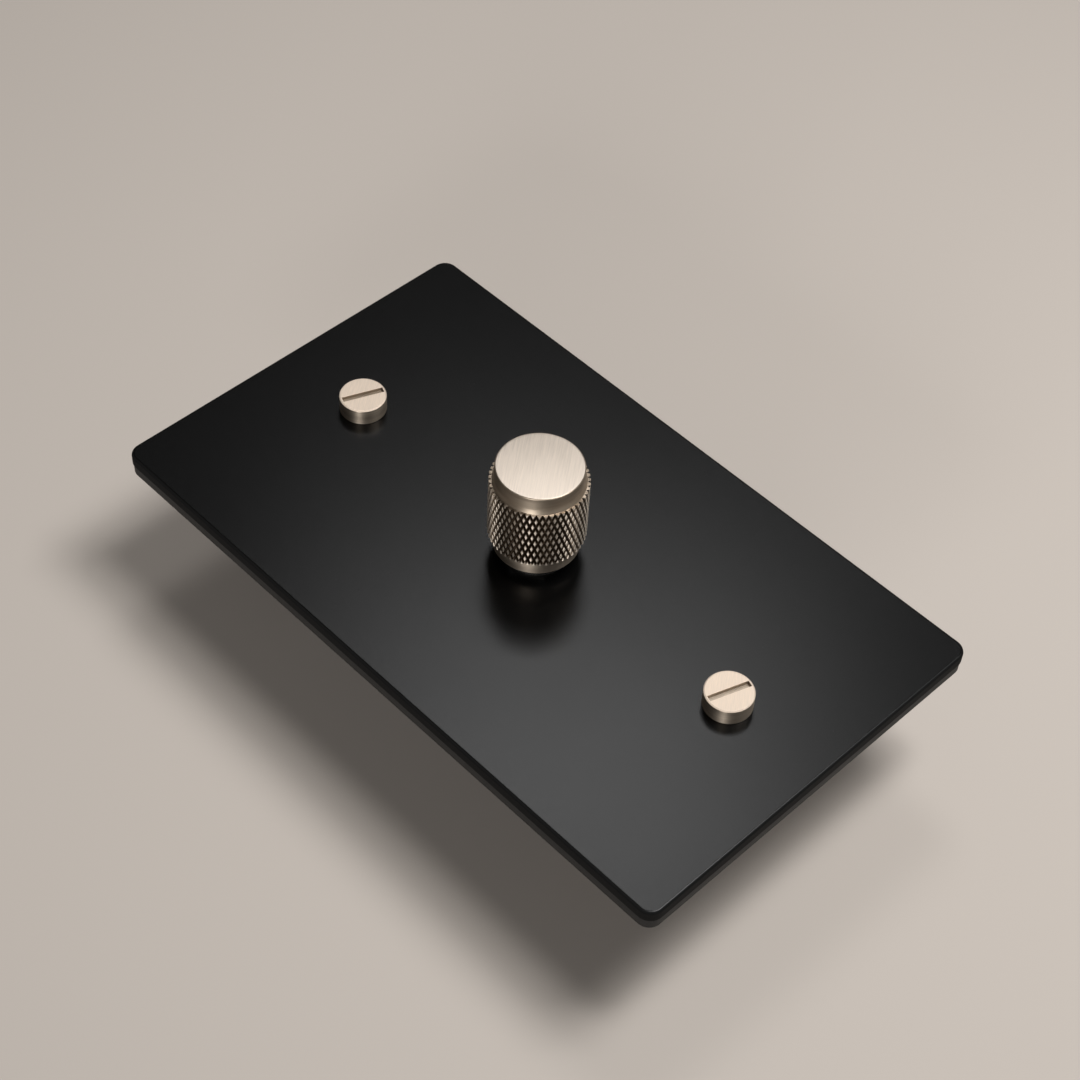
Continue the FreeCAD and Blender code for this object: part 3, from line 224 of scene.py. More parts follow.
def mixed(tree, share, first, second):
    """Two colours mixed; each is three plain numbers or another node's output."""
    node = add(tree, "ShaderNodeMix", data_type="RGBA")
    # Sockets of the same names serve other kinds of data, so the colours' go by number
    factor, colours, result = node.inputs[0], node.inputs[6:8], node.outputs[2]
    for socket, given in zip((factor, *colours), (share, first, second)):
        if isinstance(given, bpy.types.NodeSocket):
            tree.links.new(given, socket)
        else:
            socket.default_value = (*given, 1.0)
    return result


def placed(tree, scale, turn=0.0):
    """The piece's own coordinates, turned about Z and stretched; scale is in features per metre."""
    place = add(tree, "ShaderNodeTexCoord").outputs["Object"]
    if turn:
        place = add(
            tree, "ShaderNodeMapping", {"Vector": place, "Rotation": (0, 0, math.radians(-turn))}
        ).outputs[0]
    return add(tree, "ShaderNodeMapping", {"Vector": place, "Scale": scale}).outputs[0]


def noise(tree, scale, detail, turn=0.0):
    inputs = {
        "Vector": placed(tree, scale, turn), "Scale": 1.0, "Detail": detail,
        "Roughness": NOISE_ROUGHNESS,
    }
    return add(tree, "ShaderNodeTexNoise", inputs).outputs[0]


def radius_mm(tree):
    """Distance from the knob's axis."""
    place = add(tree, "ShaderNodeTexCoord").outputs["Object"]
    flat = add(
        tree, "ShaderNodeVectorMath", {0: place, 1: (1, 1, 0)}, operation="MULTIPLY"
    ).outputs[0]
    length = add(tree, "ShaderNodeVectorMath", {0: flat}, operation="LENGTH").outputs["Value"]
    return calc(tree, "DIVIDE", length, MM)


def new_finish(name):
    material = bpy.data.materials.new(name)
    material.use_nodes = True
    tree = material.node_tree
    shader = next(node for node in tree.nodes if node.type == "BSDF_PRINCIPLED")
    return material, tree, shader


def finish(name, tones, roughness, grain, relief, metal=0.0, turn=0.0, cloud=90.0, painted_shade=None,
           dull=None, gleam=None, **plain):
    """Two tones mixed by a stretched grain and a slow cloud, which also give the roughness.

    grain is features per metre along X, Y and Z, relief the grain's height in millimetres, and
    plain holds constants for the shader's own sockets. The painted shade argument, a source and a
    colour, paints that shade colour where the source's share is 0, and dull sets a roughness
    likewise. gleam is the direction that the highlight is drawn out along, across the brush marks.
    """
    material, tree, shader = new_finish(name)
    fine = noise(tree, grain, FINE_DETAIL, turn)
    slow = noise(tree, (cloud, cloud, cloud), SLOW_DETAIL)
    share = calc(
        tree, "ADD",
        calc(tree, "MULTIPLY", fine, FINE_SHARE), calc(tree, "MULTIPLY", slow, SLOW_SHARE),
    )
    colour = mixed(tree, spread(tree, share, *NOISE_RANGE, 0.0, 1.0), *tones)
    # Painted shade: the shade colour is painted where the source's share is 0
    if painted_shade:
        source, shade_colour = painted_shade
        colour = mixed(tree, source(tree), shade_colour, colour)
    matt = spread(tree, share, *NOISE_RANGE, *roughness)
    if dull:
        source, most = dull
        matt = spread(tree, source(tree), 0.0, 1.0, most, matt)
    bump = add(
        tree, "ShaderNodeBump", {"Height": fine, "Strength": 1.0, "Distance": relief * MM}
    ).outputs[0]
    tree.links.new(colour, shader.inputs["Base Color"])
    tree.links.new(matt, shader.inputs["Roughness"])
    tree.links.new(bump, shader.inputs["Normal"])
    shader.inputs["Metallic"].default_value = metal
    if gleam:
        across = add(
            tree, "ShaderNodeVectorTransform", {"Vector": gleam},
            vector_type="VECTOR", convert_from="OBJECT", convert_to="WORLD",
        ).outputs[0]
        tree.links.new(across, shader.inputs["Tangent"])
    for socket, number in plain.items():
        shader.inputs[socket.replace("_", " ")].default_value = number
    return material


def knurl_radius(fill):
    return KNURL_ROOT + (KNURL_CREST - KNURL_ROOT) * fill


def groove_share(tree):
    """0 down in the knurl's grooves, 1 on its crests."""
    # This mask places the painted shade down in the grooves, fading out towards the crests
    dark, bright = knurl_radius(GROOVE_DARK), knurl_radius(GROOVE_BRIGHT)
    return spread(tree, radius_mm(tree), dark, bright, 0.0, 1.0)


def face_share(tree):
    """1 on the front plate's face, 0 round its arris and down its side."""
    place = add(tree, "ShaderNodeTexCoord").outputs["Object"]
    level = add(tree, "ShaderNodeSeparateXYZ", {0: place}).outputs["Z"]
    dull, satin = (PLATE_FACE - ARRIS_DULL) * MM, (PLATE_FACE - ARRIS_SATIN) * MM
    return spread(tree, level, dull, satin, 0.0, 1.0)


# The nickel tones are one metal in lit and shaded copies: the knurl and screw face tones are
# lighter for painted light, the neck and slot tones darker for painted shade
CAP_NICKEL = ((0.63, 0.55, 0.47), (0.86, 0.76, 0.66))
FACE_NICKEL_LIT = ((0.80, 0.70, 0.60), (0.94, 0.835, 0.725))
NECK_NICKEL_SHADED = ((0.31, 0.25, 0.19), (0.45, 0.375, 0.295))
TURNED_NICKEL = ((0.50, 0.41, 0.32), (0.70, 0.595, 0.48))
KNURL_NICKEL_LIT = ((0.84, 0.73, 0.61), (0.95, 0.85, 0.73))
SLOT_NICKEL_SHADED = ((0.34, 0.28, 0.22), (0.48, 0.40, 0.32))
GROOVE_PAINTED_SHADE = (0.10, 0.073, 0.05)
UPRIGHT = (0.0, 0.0, 1.0)
BRUSHED = 37.8
BRUSHED_GLEAM = (-math.sin(math.radians(BRUSHED)), math.cos(math.radians(BRUSHED)), 0.0)
TURNED_GRAIN = (90, 90, 3000)
MOULD_GRAIN = (2400, 2400, 2400)
SHEET_GRAIN = (110, 3600, 3600)

knob_cap = finish(
    "nickel_straight_brushed", CAP_NICKEL, (0.42, 0.56), (240, 5200, 240), relief=0.004, metal=1.0,
    turn=BRUSHED, gleam=BRUSHED_GLEAM, Anisotropic=0.3,
)
# The neck's darker tone is painted shade
knob_side = finish(
    "nickel_turned_side", NECK_NICKEL_SHADED, (0.40, 0.50), TURNED_GRAIN, relief=0.003, metal=1.0,
    gleam=UPRIGHT, Anisotropic=0.6,
)
knob_collar = finish(
    "nickel_turned_collar", TURNED_NICKEL, (0.40, 0.50), TURNED_GRAIN, relief=0.003, metal=1.0,
    gleam=UPRIGHT, Anisotropic=0.75,
)
# The knurl has painted shade in its grooves and painted light from its lighter tones on its crests
knurl_cut = finish(
    "nickel_knurl_cut", KNURL_NICKEL_LIT, (0.42, 0.55), (2600, 2600, 2600), relief=0.002, metal=1.0,
    painted_shade=(groove_share, GROOVE_PAINTED_SHADE), gleam=UPRIGHT, Anisotropic=0.85,
)
# The screw face's lighter tone is painted light
screw_face = finish(
    "nickel_screw_face", FACE_NICKEL_LIT, (0.74, 0.86), (500, 6400, 500), relief=0.004, metal=1.0,
    turn=BRUSHED, gleam=BRUSHED_GLEAM, Anisotropic=0.2,
)
screw_side = finish(
    "nickel_screw_side", TURNED_NICKEL, (0.38, 0.5), TURNED_GRAIN, relief=0.004, metal=1.0,
    gleam=UPRIGHT, Anisotropic=0.7,
)
# The slot's darker tone is painted shade in the recess
slot_cut = finish(
    "nickel_slot_cut", SLOT_NICKEL_SHADED, (0.4, 0.55), (300, 300, 4000), relief=0.004, metal=1.0
)

finishes = {
    "plate_black": finish(
        "satin_black_coat", ((0.0004, 0.0004, 0.0004), (0.0010, 0.0010, 0.0010)), (0.245, 0.275),
        (3300, 3300, 3300), relief=0.010, cloud=35.0, dull=(face_share, 0.9),
        Specular_IOR_Level=0.25,
    ),
    "backing_grey": finish(
        "charcoal_moulding", ((0.006, 0.006, 0.006), (0.010, 0.010, 0.010)), (0.5, 0.62),
        MOULD_GRAIN, relief=0.008, Specular_IOR_Level=0.3,
    ),
    "screw_steel": screw_side,
    "knob_steel": knob_side,
    "brass_turned": finish(
        "brass_turned_bright", ((0.68, 0.47, 0.18), (0.80, 0.58, 0.26)), (0.24, 0.36),
        TURNED_GRAIN, relief=0.004, metal=1.0,
    ),
    "aluminium_shaft": finish(
        "aluminium_turned", ((0.70, 0.70, 0.71), (0.82, 0.82, 0.83)), (0.26, 0.38),
        TURNED_GRAIN, relief=0.004, metal=1.0,
    ),
    "spring_steel": finish(
        "spring_steel_drawn", ((0.36, 0.35, 0.34), (0.50, 0.49, 0.47)), (0.28, 0.4),
        (900, 900, 2600), relief=0.003, metal=1.0,
    ),
    "plated_bush": finish(
        "bright_plated_zinc", ((0.58, 0.57, 0.54), (0.72, 0.71, 0.68)), (0.22, 0.34),
        TURNED_GRAIN, relief=0.004, metal=1.0,
    ),
    "pot_moulding": finish(
        "dark_resin_moulding", ((0.016, 0.014, 0.012), (0.028, 0.024, 0.021)), (0.4, 0.55),
        MOULD_GRAIN, relief=0.006,
    ),
    "track_board": finish(
        "track_laminate", ((0.17, 0.09, 0.035), (0.25, 0.14, 0.06)), (0.45, 0.6),
        (1500, 1500, 1500), relief=0.006,
    ),
    "tinned_metal": finish(
        "tinned_sheet", ((0.62, 0.62, 0.61), (0.76, 0.76, 0.75)), (0.26, 0.42),
        (700, 700, 1400), relief=0.005, metal=1.0,
    ),
    "rotor_moulding": finish(
        "ivory_nylon_moulding", ((0.60, 0.57, 0.48), (0.68, 0.65, 0.57)), (0.38, 0.5),
        MOULD_GRAIN, relief=0.006,
    ),
    "sink_aluminium": finish(
        "mill_aluminium", ((0.60, 0.60, 0.61), (0.74, 0.74, 0.75)), (0.3, 0.46),
        SHEET_GRAIN, relief=0.004, metal=1.0,
    ),
    "zinc_screw": finish(
        "zinc_plated_screw", ((0.50, 0.50, 0.46), (0.68, 0.68, 0.64)), (0.26, 0.42),
        (900, 900, 900), relief=0.005, metal=1.0,
    ),
    "case_moulding": finish(
        "black_spark_moulding", ((0.014, 0.014, 0.015), (0.024, 0.024, 0.025)), (0.48, 0.62),
        (2000, 2000, 2000), relief=0.012,
    ),
    "terminal_brass": finish(
        "brass_sawn_block", ((0.58, 0.40, 0.15), (0.74, 0.53, 0.23)), (0.28, 0.44),
        SHEET_GRAIN, relief=0.006, metal=1.0,
    ),
    "board_laminate": finish(
        "green_board_laminate", ((0.012, 0.09, 0.035), (0.025, 0.14, 0.06)), (0.3, 0.45),
        (1400, 1400, 300), relief=0.006,
    ),
    "choke_powder": finish(
        "iron_powder_core", ((0.42, 0.30, 0.03), (0.56, 0.42, 0.06)), (0.5, 0.65),
        (3000, 3000, 3000), relief=0.012,
    ),
    "enamelled_wire": finish(
        "enamelled_copper", ((0.50, 0.16, 0.05), (0.64, 0.24, 0.09)), (0.18, 0.3),
        (600, 600, 1800), relief=0.003, metal=1.0, Coat_Weight=0.6,
    ),
    "capacitor_box": finish(
        "yellow_film_box", ((0.50, 0.33, 0.03), (0.60, 0.42, 0.06)), (0.32, 0.45),
        (1600, 1600, 1600), relief=0.005,
    ),
    "fuse_glass": finish(
        "fuse_glass_tube", ((0.90, 0.93, 0.92), (0.96, 0.98, 0.97)), (0.03, 0.07),
        (300, 900, 900), relief=0.001, Transmission_Weight=1.0, IOR=1.5,
    ),
    "triac_epoxy": finish(
        "black_epoxy_body", ((0.010, 0.010, 0.011), (0.020, 0.020, 0.021)), (0.5, 0.65),
        (2600, 2600, 2600), relief=0.01,
    ),
}

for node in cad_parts.values():
    for slot in node.material_slots:
        slot.material = finishes[slot.material.name]


# Mesh helpers


def skin(shell, rings, cap_first=False, cap_last=False):
    """Skin rings of equally many points, in millimetres, into shell, with flat caps where asked."""
    rows = [[shell.verts.new(Vector(point) * MM) for point in ring] for ring in rings]
    for lower, upper in zip(rows, rows[1:]):
        for step in range(len(lower)):
            following = (step + 1) % len(lower)
            shell.faces.new((lower[step], lower[following], upper[following], upper[step]))
    if cap_first:
        shell.faces.new(rows[0][::-1])
    if cap_last:
        shell.faces.new(rows[-1])


def ring(angles, radius, level):
    return [(radius * math.cos(angle), radius * math.sin(angle), level) for angle in angles]


def quarter_round(radius, level, size, steps, upward):
    """(radius, level) stations of a rounded outer edge, from the side to the flat face."""
    stations = []
    for step in range(steps + 1):
        angle = math.pi / 2 * step / steps
        rise = size * math.sin(angle)
        height = level - size + rise if upward else level + size - rise
        stations.append((radius - size + size * math.cos(angle), height))
    return stations


def closed_mesh(name, shell):
    """A plain mesh with its doubles merged and its faces turned outwards."""
    bmesh.ops.remove_doubles(shell, verts=shell.verts, dist=MERGE_GAP * MM)
    bmesh.ops.recalc_face_normals(shell, faces=shell.faces)
    mesh = bpy.data.meshes.new(name)
    shell.to_mesh(mesh)
    shell.free()
    return mesh


def new_tree(name, **inputs):
    """A geometry tree with named inputs; gives it with the sockets it starts from and ends in."""
    tree = bpy.data.node_groups.new(name, "GeometryNodeTree")
    tree.interface.new_socket("Geometry", in_out="INPUT", socket_type="NodeSocketGeometry")
    for label, kind in inputs.items():
        tree.interface.new_socket(label, in_out="INPUT", socket_type=f"NodeSocket{kind}")
    tree.interface.new_socket("Geometry", in_out="OUTPUT", socket_type="NodeSocketGeometry")
    given = tree.nodes.new("NodeGroupInput").outputs
    output = tree.nodes.new("NodeGroupOutput").inputs
    return tree, given, output


def close_tree(tree, geometry, material, output):
    whole = add(tree, "GeometryNodeRealizeInstances", {"Geometry": geometry}).outputs[0]
    dressed = add(
        tree, "GeometryNodeSetMaterial", {"Geometry": whole, "Material": material}
    ).outputs[0]
    tree.links.new(dressed, output["Geometry"])


def grow(tree, mesh, **settings):
    """The plain mesh that a geometry tree makes of a mesh."""
    carrier = bpy.data.objects.new(mesh.name, mesh)
    bpy.context.scene.collection.objects.link(carrier)
    modifier = carrier.modifiers.new(tree.name, "NODES")
    modifier.node_group = tree
    for item in tree.interface.items_tree:
        if item.name in settings:
            modifier[item.identifier] = settings[item.name]
    evaluated = carrier.evaluated_get(bpy.context.evaluated_depsgraph_get())
    grown = bpy.data.meshes.new_from_object(evaluated)
    bpy.data.objects.remove(carrier)
    return grown


def set_piece(name, mesh, materials, choose, sharp, body, slot, *nodes):
    """Dress a finished mesh, face by face, and put it on its body in place of CAD nodes.

    choose gives the material of a face from its middle, in millimetres, and its normal.
    """
    mesh.materials.clear()
    for material in materials:
        mesh.materials.append(material)
    for face in mesh.polygons:
        face.material_index = materials.index(choose(face.center / MM, face.normal))
    mesh.shade_smooth()
    mesh.set_sharp_from_angle(angle=math.radians(sharp))
    piece = bpy.data.objects.new(name, mesh)
    bpy.context.scene.collection.objects.link(piece)
    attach(piece, body)
    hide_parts(*nodes)
    return piece


# Knob: a turned core and its knurl


def knurl_tree():
    """Rows of diamond points round the knob, each row half a pitch on from the one below."""
    tree, given, output = new_tree(
        "knurl_rows", Teeth="Int", First_row="Int", Rows="Int", Lift="Float", Finish="Material"
    )
    index = add(tree, "GeometryNodeInputIndex").outputs[0]
    row = calc(tree, "FLOOR", calc(tree, "DIVIDE", index, given["Teeth"]))
    level = calc(tree, "ADD", row, given["First_row"])
    tooth = calc(tree, "SUBTRACT", index, calc(tree, "MULTIPLY", row, given["Teeth"]))
    half_pitch = calc(tree, "DIVIDE", calc(tree, "MODULO", level, 2.0), 2.0)
    column = calc(tree, "ADD", tooth, half_pitch)
    angle = calc(tree, "DIVIDE", calc(tree, "MULTIPLY", column, FULL_TURN), given["Teeth"])
    height = calc(tree, "MULTIPLY", level, given["Lift"])
    place = add(tree, "ShaderNodeCombineXYZ", {"Z": height}).outputs[0]
    turn = add(tree, "ShaderNodeCombineXYZ", {"Z": angle}).outputs[0]
    spin = add(tree, "FunctionNodeEulerToRotation", {0: turn}).outputs[0]
    count = calc(tree, "MULTIPLY", given["Teeth"], given["Rows"])
    points = add(tree, "GeometryNodePoints", {"Count": count, "Position": place}).outputs[0]
    copies = add(
        tree, "GeometryNodeInstanceOnPoints",
        {"Points": points, "Instance": given["Geometry"], "Rotation": spin},
    ).outputs[0]
    close_tree(tree, copies, given["Finish"], output)
    return tree


def diamond_patch(name, wanted):
    """One diamond point on the knurl's first pitch, or the half of one that the knurl's end leaves.

    The two groove families run along the patch's own rows and columns, so its creases follow its
    edges. wanted is whole, upper or lower.
    """
    shell = bmesh.new()
    spots = {}
    last = len(KNURL_PROFILE) - 1
    for row, (across, fill) in enumerate(KNURL_PROFILE):
        for column, (along, other_fill) in enumerate(KNURL_PROFILE):
            angle = FULL_TURN / KNURL_TEETH * (across + along) / 2
            level = KNURL_LOW + KNURL_LIFT * (across - along)
            radius = knurl_radius(min(fill, other_fill))
            spot = (radius * math.cos(angle), radius * math.sin(angle), level)
            spots[row, column] = shell.verts.new(Vector(spot) * MM)
    for row in range(last):
        for column in range(last):
            low_left, low_right = spots[row, column], spots[row, column + 1]
            high_left, high_right = spots[row + 1, column], spots[row + 1, column + 1]
            above = row > column
            # A face that one of the patch's two middle lines crosses is split along that line
            if row + column == last - 1:
                parts = [
                    (above, (low_left, high_left, low_right)),
                    (above, (low_right, high_left, high_right)),
                ]
            elif row == column:
                parts = [
                    (False, (low_left, high_right, low_right)),
                    (True, (low_left, high_left, high_right)),
                ]
            else:
                parts = [(above, (low_left, high_left, high_right, low_right))]
            for is_upper, corners in parts:
                if wanted == "whole" or is_upper == (wanted == "upper"):
                    shell.faces.new(corners)
    return closed_mesh(name, shell)


def toothed(row, level):
    """The knurl's outline through the middle of a row."""
    outline = []
    for tooth in range(KNURL_TEETH):
        for share, fill in KNURL_PROFILE[:-1]:
            angle = (tooth + row % 2 / 2 + share) * FULL_TURN / KNURL_TEETH
            radius = knurl_radius(fill)
            outline.append((radius * math.cos(angle), radius * math.sin(angle), level))
    return outline


def resized(outline, radius, level):
    """A round ring with its points at the outline's own angles."""
    return ring([math.atan2(y, x) for x, y, _ in outline], radius, level)


def make_knob():
    tree = knurl_tree()
    shell = bmesh.new()
    for name, wanted, first, count in (
        ("knurl_foot", "upper", 0, 1),
        ("knurl_field", "whole", 1, KNURL_ROWS - 1),
        ("knurl_head", "lower", KNURL_ROWS, 1),
    ):
        shell.from_mesh(grow(
            tree, diamond_patch(name, wanted), Teeth=KNURL_TEETH, First_row=first, Rows=count,
            Lift=KNURL_LIFT * MM, Finish=knurl_cut,
        ))

    head = toothed(KNURL_ROWS, KNURL_HIGH)
    flare = SHOULDER_RADIUS - KNOB_RADIUS
    neck = [
        (KNOB_RADIUS + flare * (1 - share)**SHOULDER_CURVE, KNURL_HIGH + SHOULDER_HEIGHT * share)
        for share in SHOULDER_SHARES
    ]
    cap_edge = KNOB_HIGH - CAP_CROWN
    neck += quarter_round(KNOB_RADIUS, cap_edge, KNOB_TOP_ROUND, KNOB_TOP_STEPS, upward=True)
    cap_radius = KNOB_RADIUS - KNOB_TOP_ROUND
    neck += [(cap_radius * share, KNOB_HIGH - CAP_CROWN * share**2) for share in CAP_SHARES]
    skin(shell, [head] + [resized(head, *spot) for spot in neck], cap_last=True)

    foot = toothed(0, KNURL_LOW)
    collar = [(KNOB_RADIUS, KNURL_LOW)]
    collar += quarter_round(KNOB_RADIUS, KNOB_LOW, KNOB_FOOT_ROUND, KNOB_FOOT_STEPS, upward=False)
    collar += [
        (NUT_ROOM_RADIUS + NUT_ROOM_CHAMFER, KNOB_LOW),
        (NUT_ROOM_RADIUS, KNOB_LOW + NUT_ROOM_CHAMFER), (NUT_ROOM_RADIUS, NUT_ROOM_TOP),
        (INSERT_BORE_RADIUS, NUT_ROOM_TOP), (INSERT_BORE_RADIUS, INSERT_BORE_TOP),
    ]
    skin(shell, [foot] + [resized(foot, *spot) for spot in collar], cap_last=True)

    def choose(place, normal):
        if normal.z > CAP_LEAST_NORMAL and place.z > KNURL_HIGH + SHOULDER_HEIGHT:
            return knob_cap
        if place.z < KNURL_LOW + SEAM:
            return knob_collar
        outside = math.hypot(place.x, place.y) > KNOB_RADIUS
        return knurl_cut if outside and place.z < KNURL_HIGH - SEAM else knob_side

    mesh = closed_mesh("knob_turned", shell)
    materials = (knob_cap, knob_side, knurl_cut, knob_collar)
    set_piece(
        "knob_turned", mesh, materials, choose, KNOB_SHARP_ANGLE, "dial", "knob_steel", "knob"
    )


# Fixing screws: a slotted cheese head on a threaded shank


def thread_tree():
    """Presses a single-start thread into a shank that stands on the Z axis."""
    tree, given, output = new_tree(
        "screw_thread", Pitch="Float", Depth="Float", Top="Float", Finish="Material"
    )
    place = add(tree, "GeometryNodeInputPosition").outputs[0]
    x, y, z = add(tree, "ShaderNodeSeparateXYZ", {0: place}).outputs
    turned = calc(tree, "DIVIDE", calc(tree, "ARCTAN2", y, x), FULL_TURN)
    pitches = calc(tree, "DIVIDE", z, given["Pitch"])
    phase = calc(tree, "FRACT", calc(tree, "SUBTRACT", pitches, turned))
    off_middle = calc(tree, "ABSOLUTE", calc(tree, "SUBTRACT", phase, 0.5))
    ridge = calc(tree, "MULTIPLY", off_middle, 2.0)
    filled = spread(tree, ridge, THREAD_FLAT, 1 - THREAD_FLAT, 0.0, 1.0)
    groove = calc(tree, "SUBTRACT", 1.0, filled)
    below = calc(tree, "DIVIDE", calc(tree, "SUBTRACT", given["Top"], z), given["Pitch"])
    cut = calc(tree, "MULTIPLY", groove, spread(tree, below, 0.0, 1.0, 0.0, 1.0))
    depth = calc(tree, "MULTIPLY", cut, given["Depth"])
    out = add(tree, "ShaderNodeCombineXYZ", {"X": x, "Y": y}).outputs[0]
    outward = add(tree, "ShaderNodeVectorMath", {0: out}, operation="NORMALIZE").outputs[0]
    shift = add(
        tree, "ShaderNodeVectorMath", {0: outward, "Scale": calc(tree, "MULTIPLY", depth, -1.0)},
        operation="SCALE",
    ).outputs[0]
    reach = add(tree, "ShaderNodeVectorMath", {0: out}, operation="LENGTH").outputs["Value"]
    core = calc(tree, "GREATER_THAN", reach, given["Depth"])
    shank = calc(tree, "MULTIPLY", core, calc(tree, "LESS_THAN", z, given["Top"]))
    cut_shank = add(
        tree, "GeometryNodeSetPosition",
        {"Geometry": given["Geometry"], "Selection": shank, "Offset": shift},
    ).outputs[0]
    close_tree(tree, cut_shank, given["Finish"], output)
    return tree


def pair_tree():
    """Two copies on the plate's long centre line, each with its slot at its own angle."""
    tree, given, output = new_tree(
        "screw_pair", Spacing="Float", First_angle="Float", Second_angle="Float", Finish="Material"
    )
    index = add(tree, "GeometryNodeInputIndex").outputs[0]
    along = calc(tree, "MULTIPLY", calc(tree, "SUBTRACT", 0.5, index), given["Spacing"])
    place = add(tree, "ShaderNodeCombineXYZ", {"Y": along}).outputs[0]
    step = calc(tree, "SUBTRACT", given["Second_angle"], given["First_angle"])
    angle = calc(tree, "ADD", given["First_angle"], calc(tree, "MULTIPLY", step, index))
    turn = add(tree, "ShaderNodeCombineXYZ", {"Z": angle}).outputs[0]
    spin = add(tree, "FunctionNodeEulerToRotation", {0: turn}).outputs[0]
    points = add(tree, "GeometryNodePoints", {"Count": 2, "Position": place}).outputs[0]
    copies = add(
        tree, "GeometryNodeInstanceOnPoints",
        {"Points": points, "Instance": given["Geometry"], "Rotation": spin},
    ).outputs[0]
    close_tree(tree, copies, given["Finish"], output)
    return tree


def slot_stations():
    """Angles round the head that meet the slot's four corners."""
    corner = math.atan2(SLOT_WIDTH, SLOT_LENGTH)
    rest = math.pi / 2 - corner
    quarter = [0.0, corner / 2]
    quarter += [corner + rest * step / SLOT_QUARTER_STEPS for step in range(SLOT_QUARTER_STEPS)]
    half = quarter + [math.pi / 2] + [math.pi - angle for angle in quarter[:0:-1]]
    return half + [math.pi + angle for angle in half]


def slot_outline(stations, grown, level):
    """The slot's rectangle seen from the screw's axis, grown on all sides."""
    wider, longer = 1 + 2 * grown / SLOT_WIDTH, 1 + 2 * grown / SLOT_LENGTH
    spots = []
    for angle in stations:
        x, y = math.cos(angle), math.sin(angle)
        to_end = SLOT_LENGTH / 2 / max(abs(x), TINY)
        to_side = SLOT_WIDTH / 2 / max(abs(y), TINY)
        reach = min(to_end, to_side)
        spots.append((x * reach * longer, y * reach * wider, level))
    return spots


def make_fixing_screws():
    stations = slot_stations()
    slot_floor = HEAD_TOP - SLOT_DEPTH
    arris = SLOT_ARRIS_SHARE * SLOT_ARRIS
    rings = [
        slot_outline(stations, -SLOT_FLOOR_CHAMFER, slot_floor),
        slot_outline(stations, 0.0, slot_floor + SLOT_FLOOR_CHAMFER),
        slot_outline(stations, 0.0, HEAD_TOP - SLOT_ARRIS),
        slot_outline(stations, arris, HEAD_TOP - arris),
        slot_outline(stations, SLOT_ARRIS, HEAD_TOP),
    ]
    outside = [
        (HEAD_RADIUS - inward * HEAD_CHAMFER, HEAD_TOP - down * HEAD_CHAMFER)
        for inward, down in HEAD_RIM
    ]
    outside += [
        (HEAD_RADIUS, PLATE_FACE + HEAD_FOOT_CHAMFER),
        (HEAD_RADIUS - HEAD_FOOT_CHAMFER, PLATE_FACE), (SHANK_NECK_RADIUS, PLATE_FACE),
        (SHANK_NECK_RADIUS, THREAD_TOP), (THREAD_RADIUS, THREAD_TOP),
    ]
    steps = round((THREAD_TOP - SHANK_TIP) / THREAD_PITCH * THREAD_STEPS)
    for step in range(1, steps + 1):
        level = THREAD_TOP + (SHANK_TIP - THREAD_TOP) * step / steps
        outside.append((THREAD_RADIUS - max(0.0, TIP_CHAMFER - (level - SHANK_TIP)), level))
    rings += [ring(stations, *spot) for spot in outside]
    shell = bmesh.new()
    skin(shell, rings, cap_first=True, cap_last=True)
    threaded = grow(
        thread_tree(), closed_mesh("fixing_screw", shell), Pitch=THREAD_PITCH * MM,
        Depth=THREAD_DEPTH * MM, Top=THREAD_TOP * MM, Finish=screw_side,
    )
    first, second = (math.radians(angle) for angle in SLOT_ANGLES)
    mesh = grow(
        pair_tree(), threaded, Spacing=SCREW_SPACING * MM, First_angle=first, Second_angle=second,
        Finish=screw_side,
    )

    def choose(place, normal):
        if place.z > HEAD_TOP - HEAD_CHAMFER and normal.z > HEAD_FACE_LEAST_NORMAL:
            return screw_face
        aside = math.hypot(place.x, abs(place.y) - SCREW_SPACING / 2)
        within = aside < SLOT_LENGTH / 2 + SLOT_ARRIS
        return slot_cut if within and place.z > slot_floor - SEAM else screw_side

    materials = (screw_face, screw_side, slot_cut)
    set_piece(
        "fixing_screws_slotted", mesh, materials, choose, SCREW_SHARP_ANGLE, "wall_unit",
        "screw_steel", "fixing_screws",
    )


# Return spring: a coil of round wire


def spring_tree():
    """A coil of round wire wound up the Z axis."""
    tree, given, output = new_tree(
        "spring_coil", Radius="Float", Wire="Float", Turns="Float", Low="Float", Height="Float",
        Finish="Material",
    )
    line = add(
        tree, "GeometryNodeCurveSpiral",
        {"Resolution": SPRING_STEPS, "Rotations": given["Turns"], "Start Radius": given["Radius"],
         "End Radius": given["Radius"], "Height": given["Height"], "Reverse": True},
    ).outputs[0]
    half_wire = calc(tree, "DIVIDE", given["Wire"], 2.0)
    section = add(
        tree, "GeometryNodeCurvePrimitiveCircle", {"Resolution": WIRE_STEPS, "Radius": half_wire}
    ).outputs[0]
    coil = add(
        tree, "GeometryNodeCurveToMesh",
        {"Curve": line, "Profile Curve": section, "Fill Caps": True},
    ).outputs[0]
    lift = add(tree, "ShaderNodeCombineXYZ", {"Z": given["Low"]}).outputs[0]
    raised = add(
        tree, "GeometryNodeTransform", {"Geometry": coil, "Translation": lift}
    ).outputs[0]
    close_tree(tree, raised, given["Finish"], output)
    return tree


def make_return_spring():
    steel = finishes["spring_steel"]
    height = SPRING_HIGH - SPRING_LOW
    coil = grow(
        spring_tree(), bpy.data.meshes.new("return_spring_coil"), Radius=SPRING_RADIUS * MM,
        Wire=SPRING_WIRE * MM, Turns=SPRING_TURNS, Low=(SPRING_LOW + SPRING_WIRE / 2) * MM,
        Height=(height - SPRING_WIRE) * MM, Finish=steel,
    )
    shell = bmesh.new()
    shell.from_mesh(coil)
    piece = set_piece(
        "return_spring_coil", closed_mesh("return_spring_coil", shell), (steel,),
        lambda place, normal: steel, SPRING_SHARP_ANGLE, "wall_unit", "spring_steel",
        "return_spring",
    )
    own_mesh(piece)


# Floor, light and camera


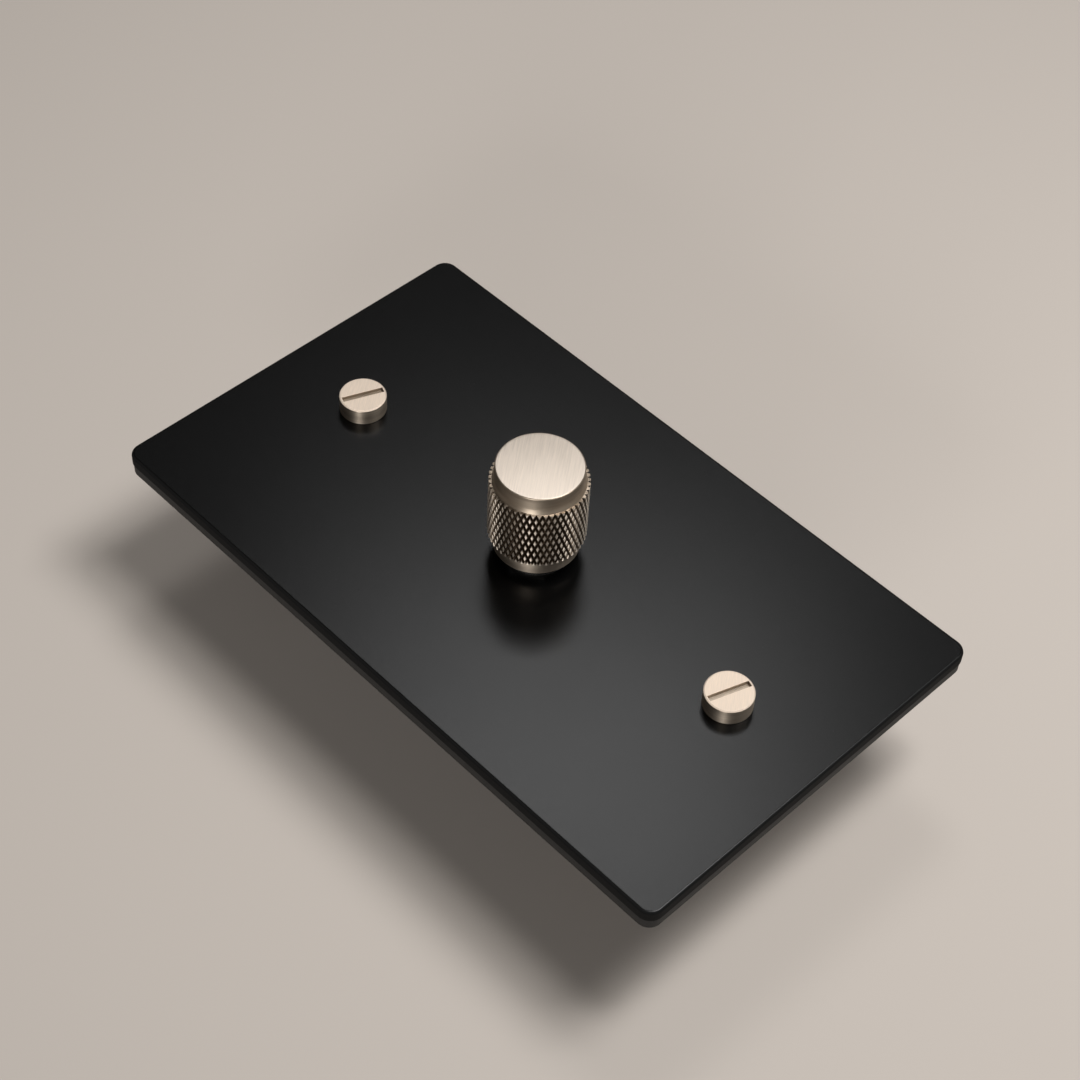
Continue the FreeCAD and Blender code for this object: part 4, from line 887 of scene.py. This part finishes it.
def make_floor():
    """A plain pale table top under the module's rear face."""
    level = cad_box[0].z / MM
    corners = [(-1, -1), (1, -1), (1, 1), (-1, 1)]
    spots = [Vector((FLOOR_HALF * x, FLOOR_HALF * y, level)) * MM for x, y in corners]
    mesh = bpy.data.meshes.new("table_top")
    mesh.from_pydata(spots, [], [(0, 1, 2, 3)])
    material, _, shader = new_finish("table_top_matt")
    shader.inputs["Base Color"].default_value = (*FLOOR_COLOUR, 1.0)
    shader.inputs["Roughness"].default_value = FLOOR_ROUGHNESS
    shader.inputs["Specular IOR Level"].default_value = FLOOR_SPECULAR
    mesh.materials.append(material)
    floor = bpy.data.objects.new("table_top", mesh)
    bpy.context.scene.collection.objects.link(floor)


def hang_softbox(name, direction, distance, side, watts):
    """A square soft light that faces the plate from a direction."""
    lamp = bpy.data.lights.new(name, "AREA")
    lamp.shape = "SQUARE"
    lamp.size = side * MM
    lamp.energy = watts
    box = bpy.data.objects.new(name, lamp)
    away = Vector(direction).normalized()
    box.location = away * distance * MM
    box.rotation_euler = away.to_track_quat("Z", "Y").to_euler()
    bpy.context.scene.collection.objects.link(box)


def light_room():
    world = bpy.data.worlds.new("soft_room")
    world.use_nodes = True
    background = next(node for node in world.node_tree.nodes if node.type == "BACKGROUND")
    background.inputs["Color"].default_value = (*ROOM_COLOUR, 1.0)
    background.inputs["Strength"].default_value = ROOM_STRENGTH
    bpy.context.scene.world = world


def aim_camera():
    angles = (VIEW_AZIMUTH, VIEW_ELEVATION, VIEW_ROLL)
    azimuth, elevation, roll = (math.radians(angle) for angle in angles)
    back = Vector((
        math.sin(azimuth) * math.cos(elevation), -math.cos(azimuth) * math.cos(elevation),
        math.sin(elevation),
    ))
    level = (-back).cross(Vector((0, 0, 1))).normalized()
    rise = level.cross(-back)
    right = level * math.cos(roll) + rise * math.sin(roll)
    up = rise * math.cos(roll) - level * math.sin(roll)
    lens = bpy.data.cameras.new("photo_view")
    lens.lens = VIEW_LENS
    lens.sensor_width = VIEW_SENSOR
    lens.clip_start = VIEW_NEAREST * MM
    camera = bpy.data.objects.new("photo_view", lens)
    place = (Vector(VIEW_TARGET) + back * VIEW_DISTANCE) * MM
    facing = Matrix((right, up, back)).transposed().to_4x4()
    camera.matrix_world = Matrix.Translation(place) @ facing
    bpy.context.scene.collection.objects.link(camera)
    bpy.context.scene.camera = camera


make_knob()
make_fixing_screws()
make_return_spring()
make_floor()
for softbox in SOFTBOXES:
    hang_softbox(*softbox)
light_room()
aim_camera()
bpy.context.scene.view_settings.view_transform = "Standard"
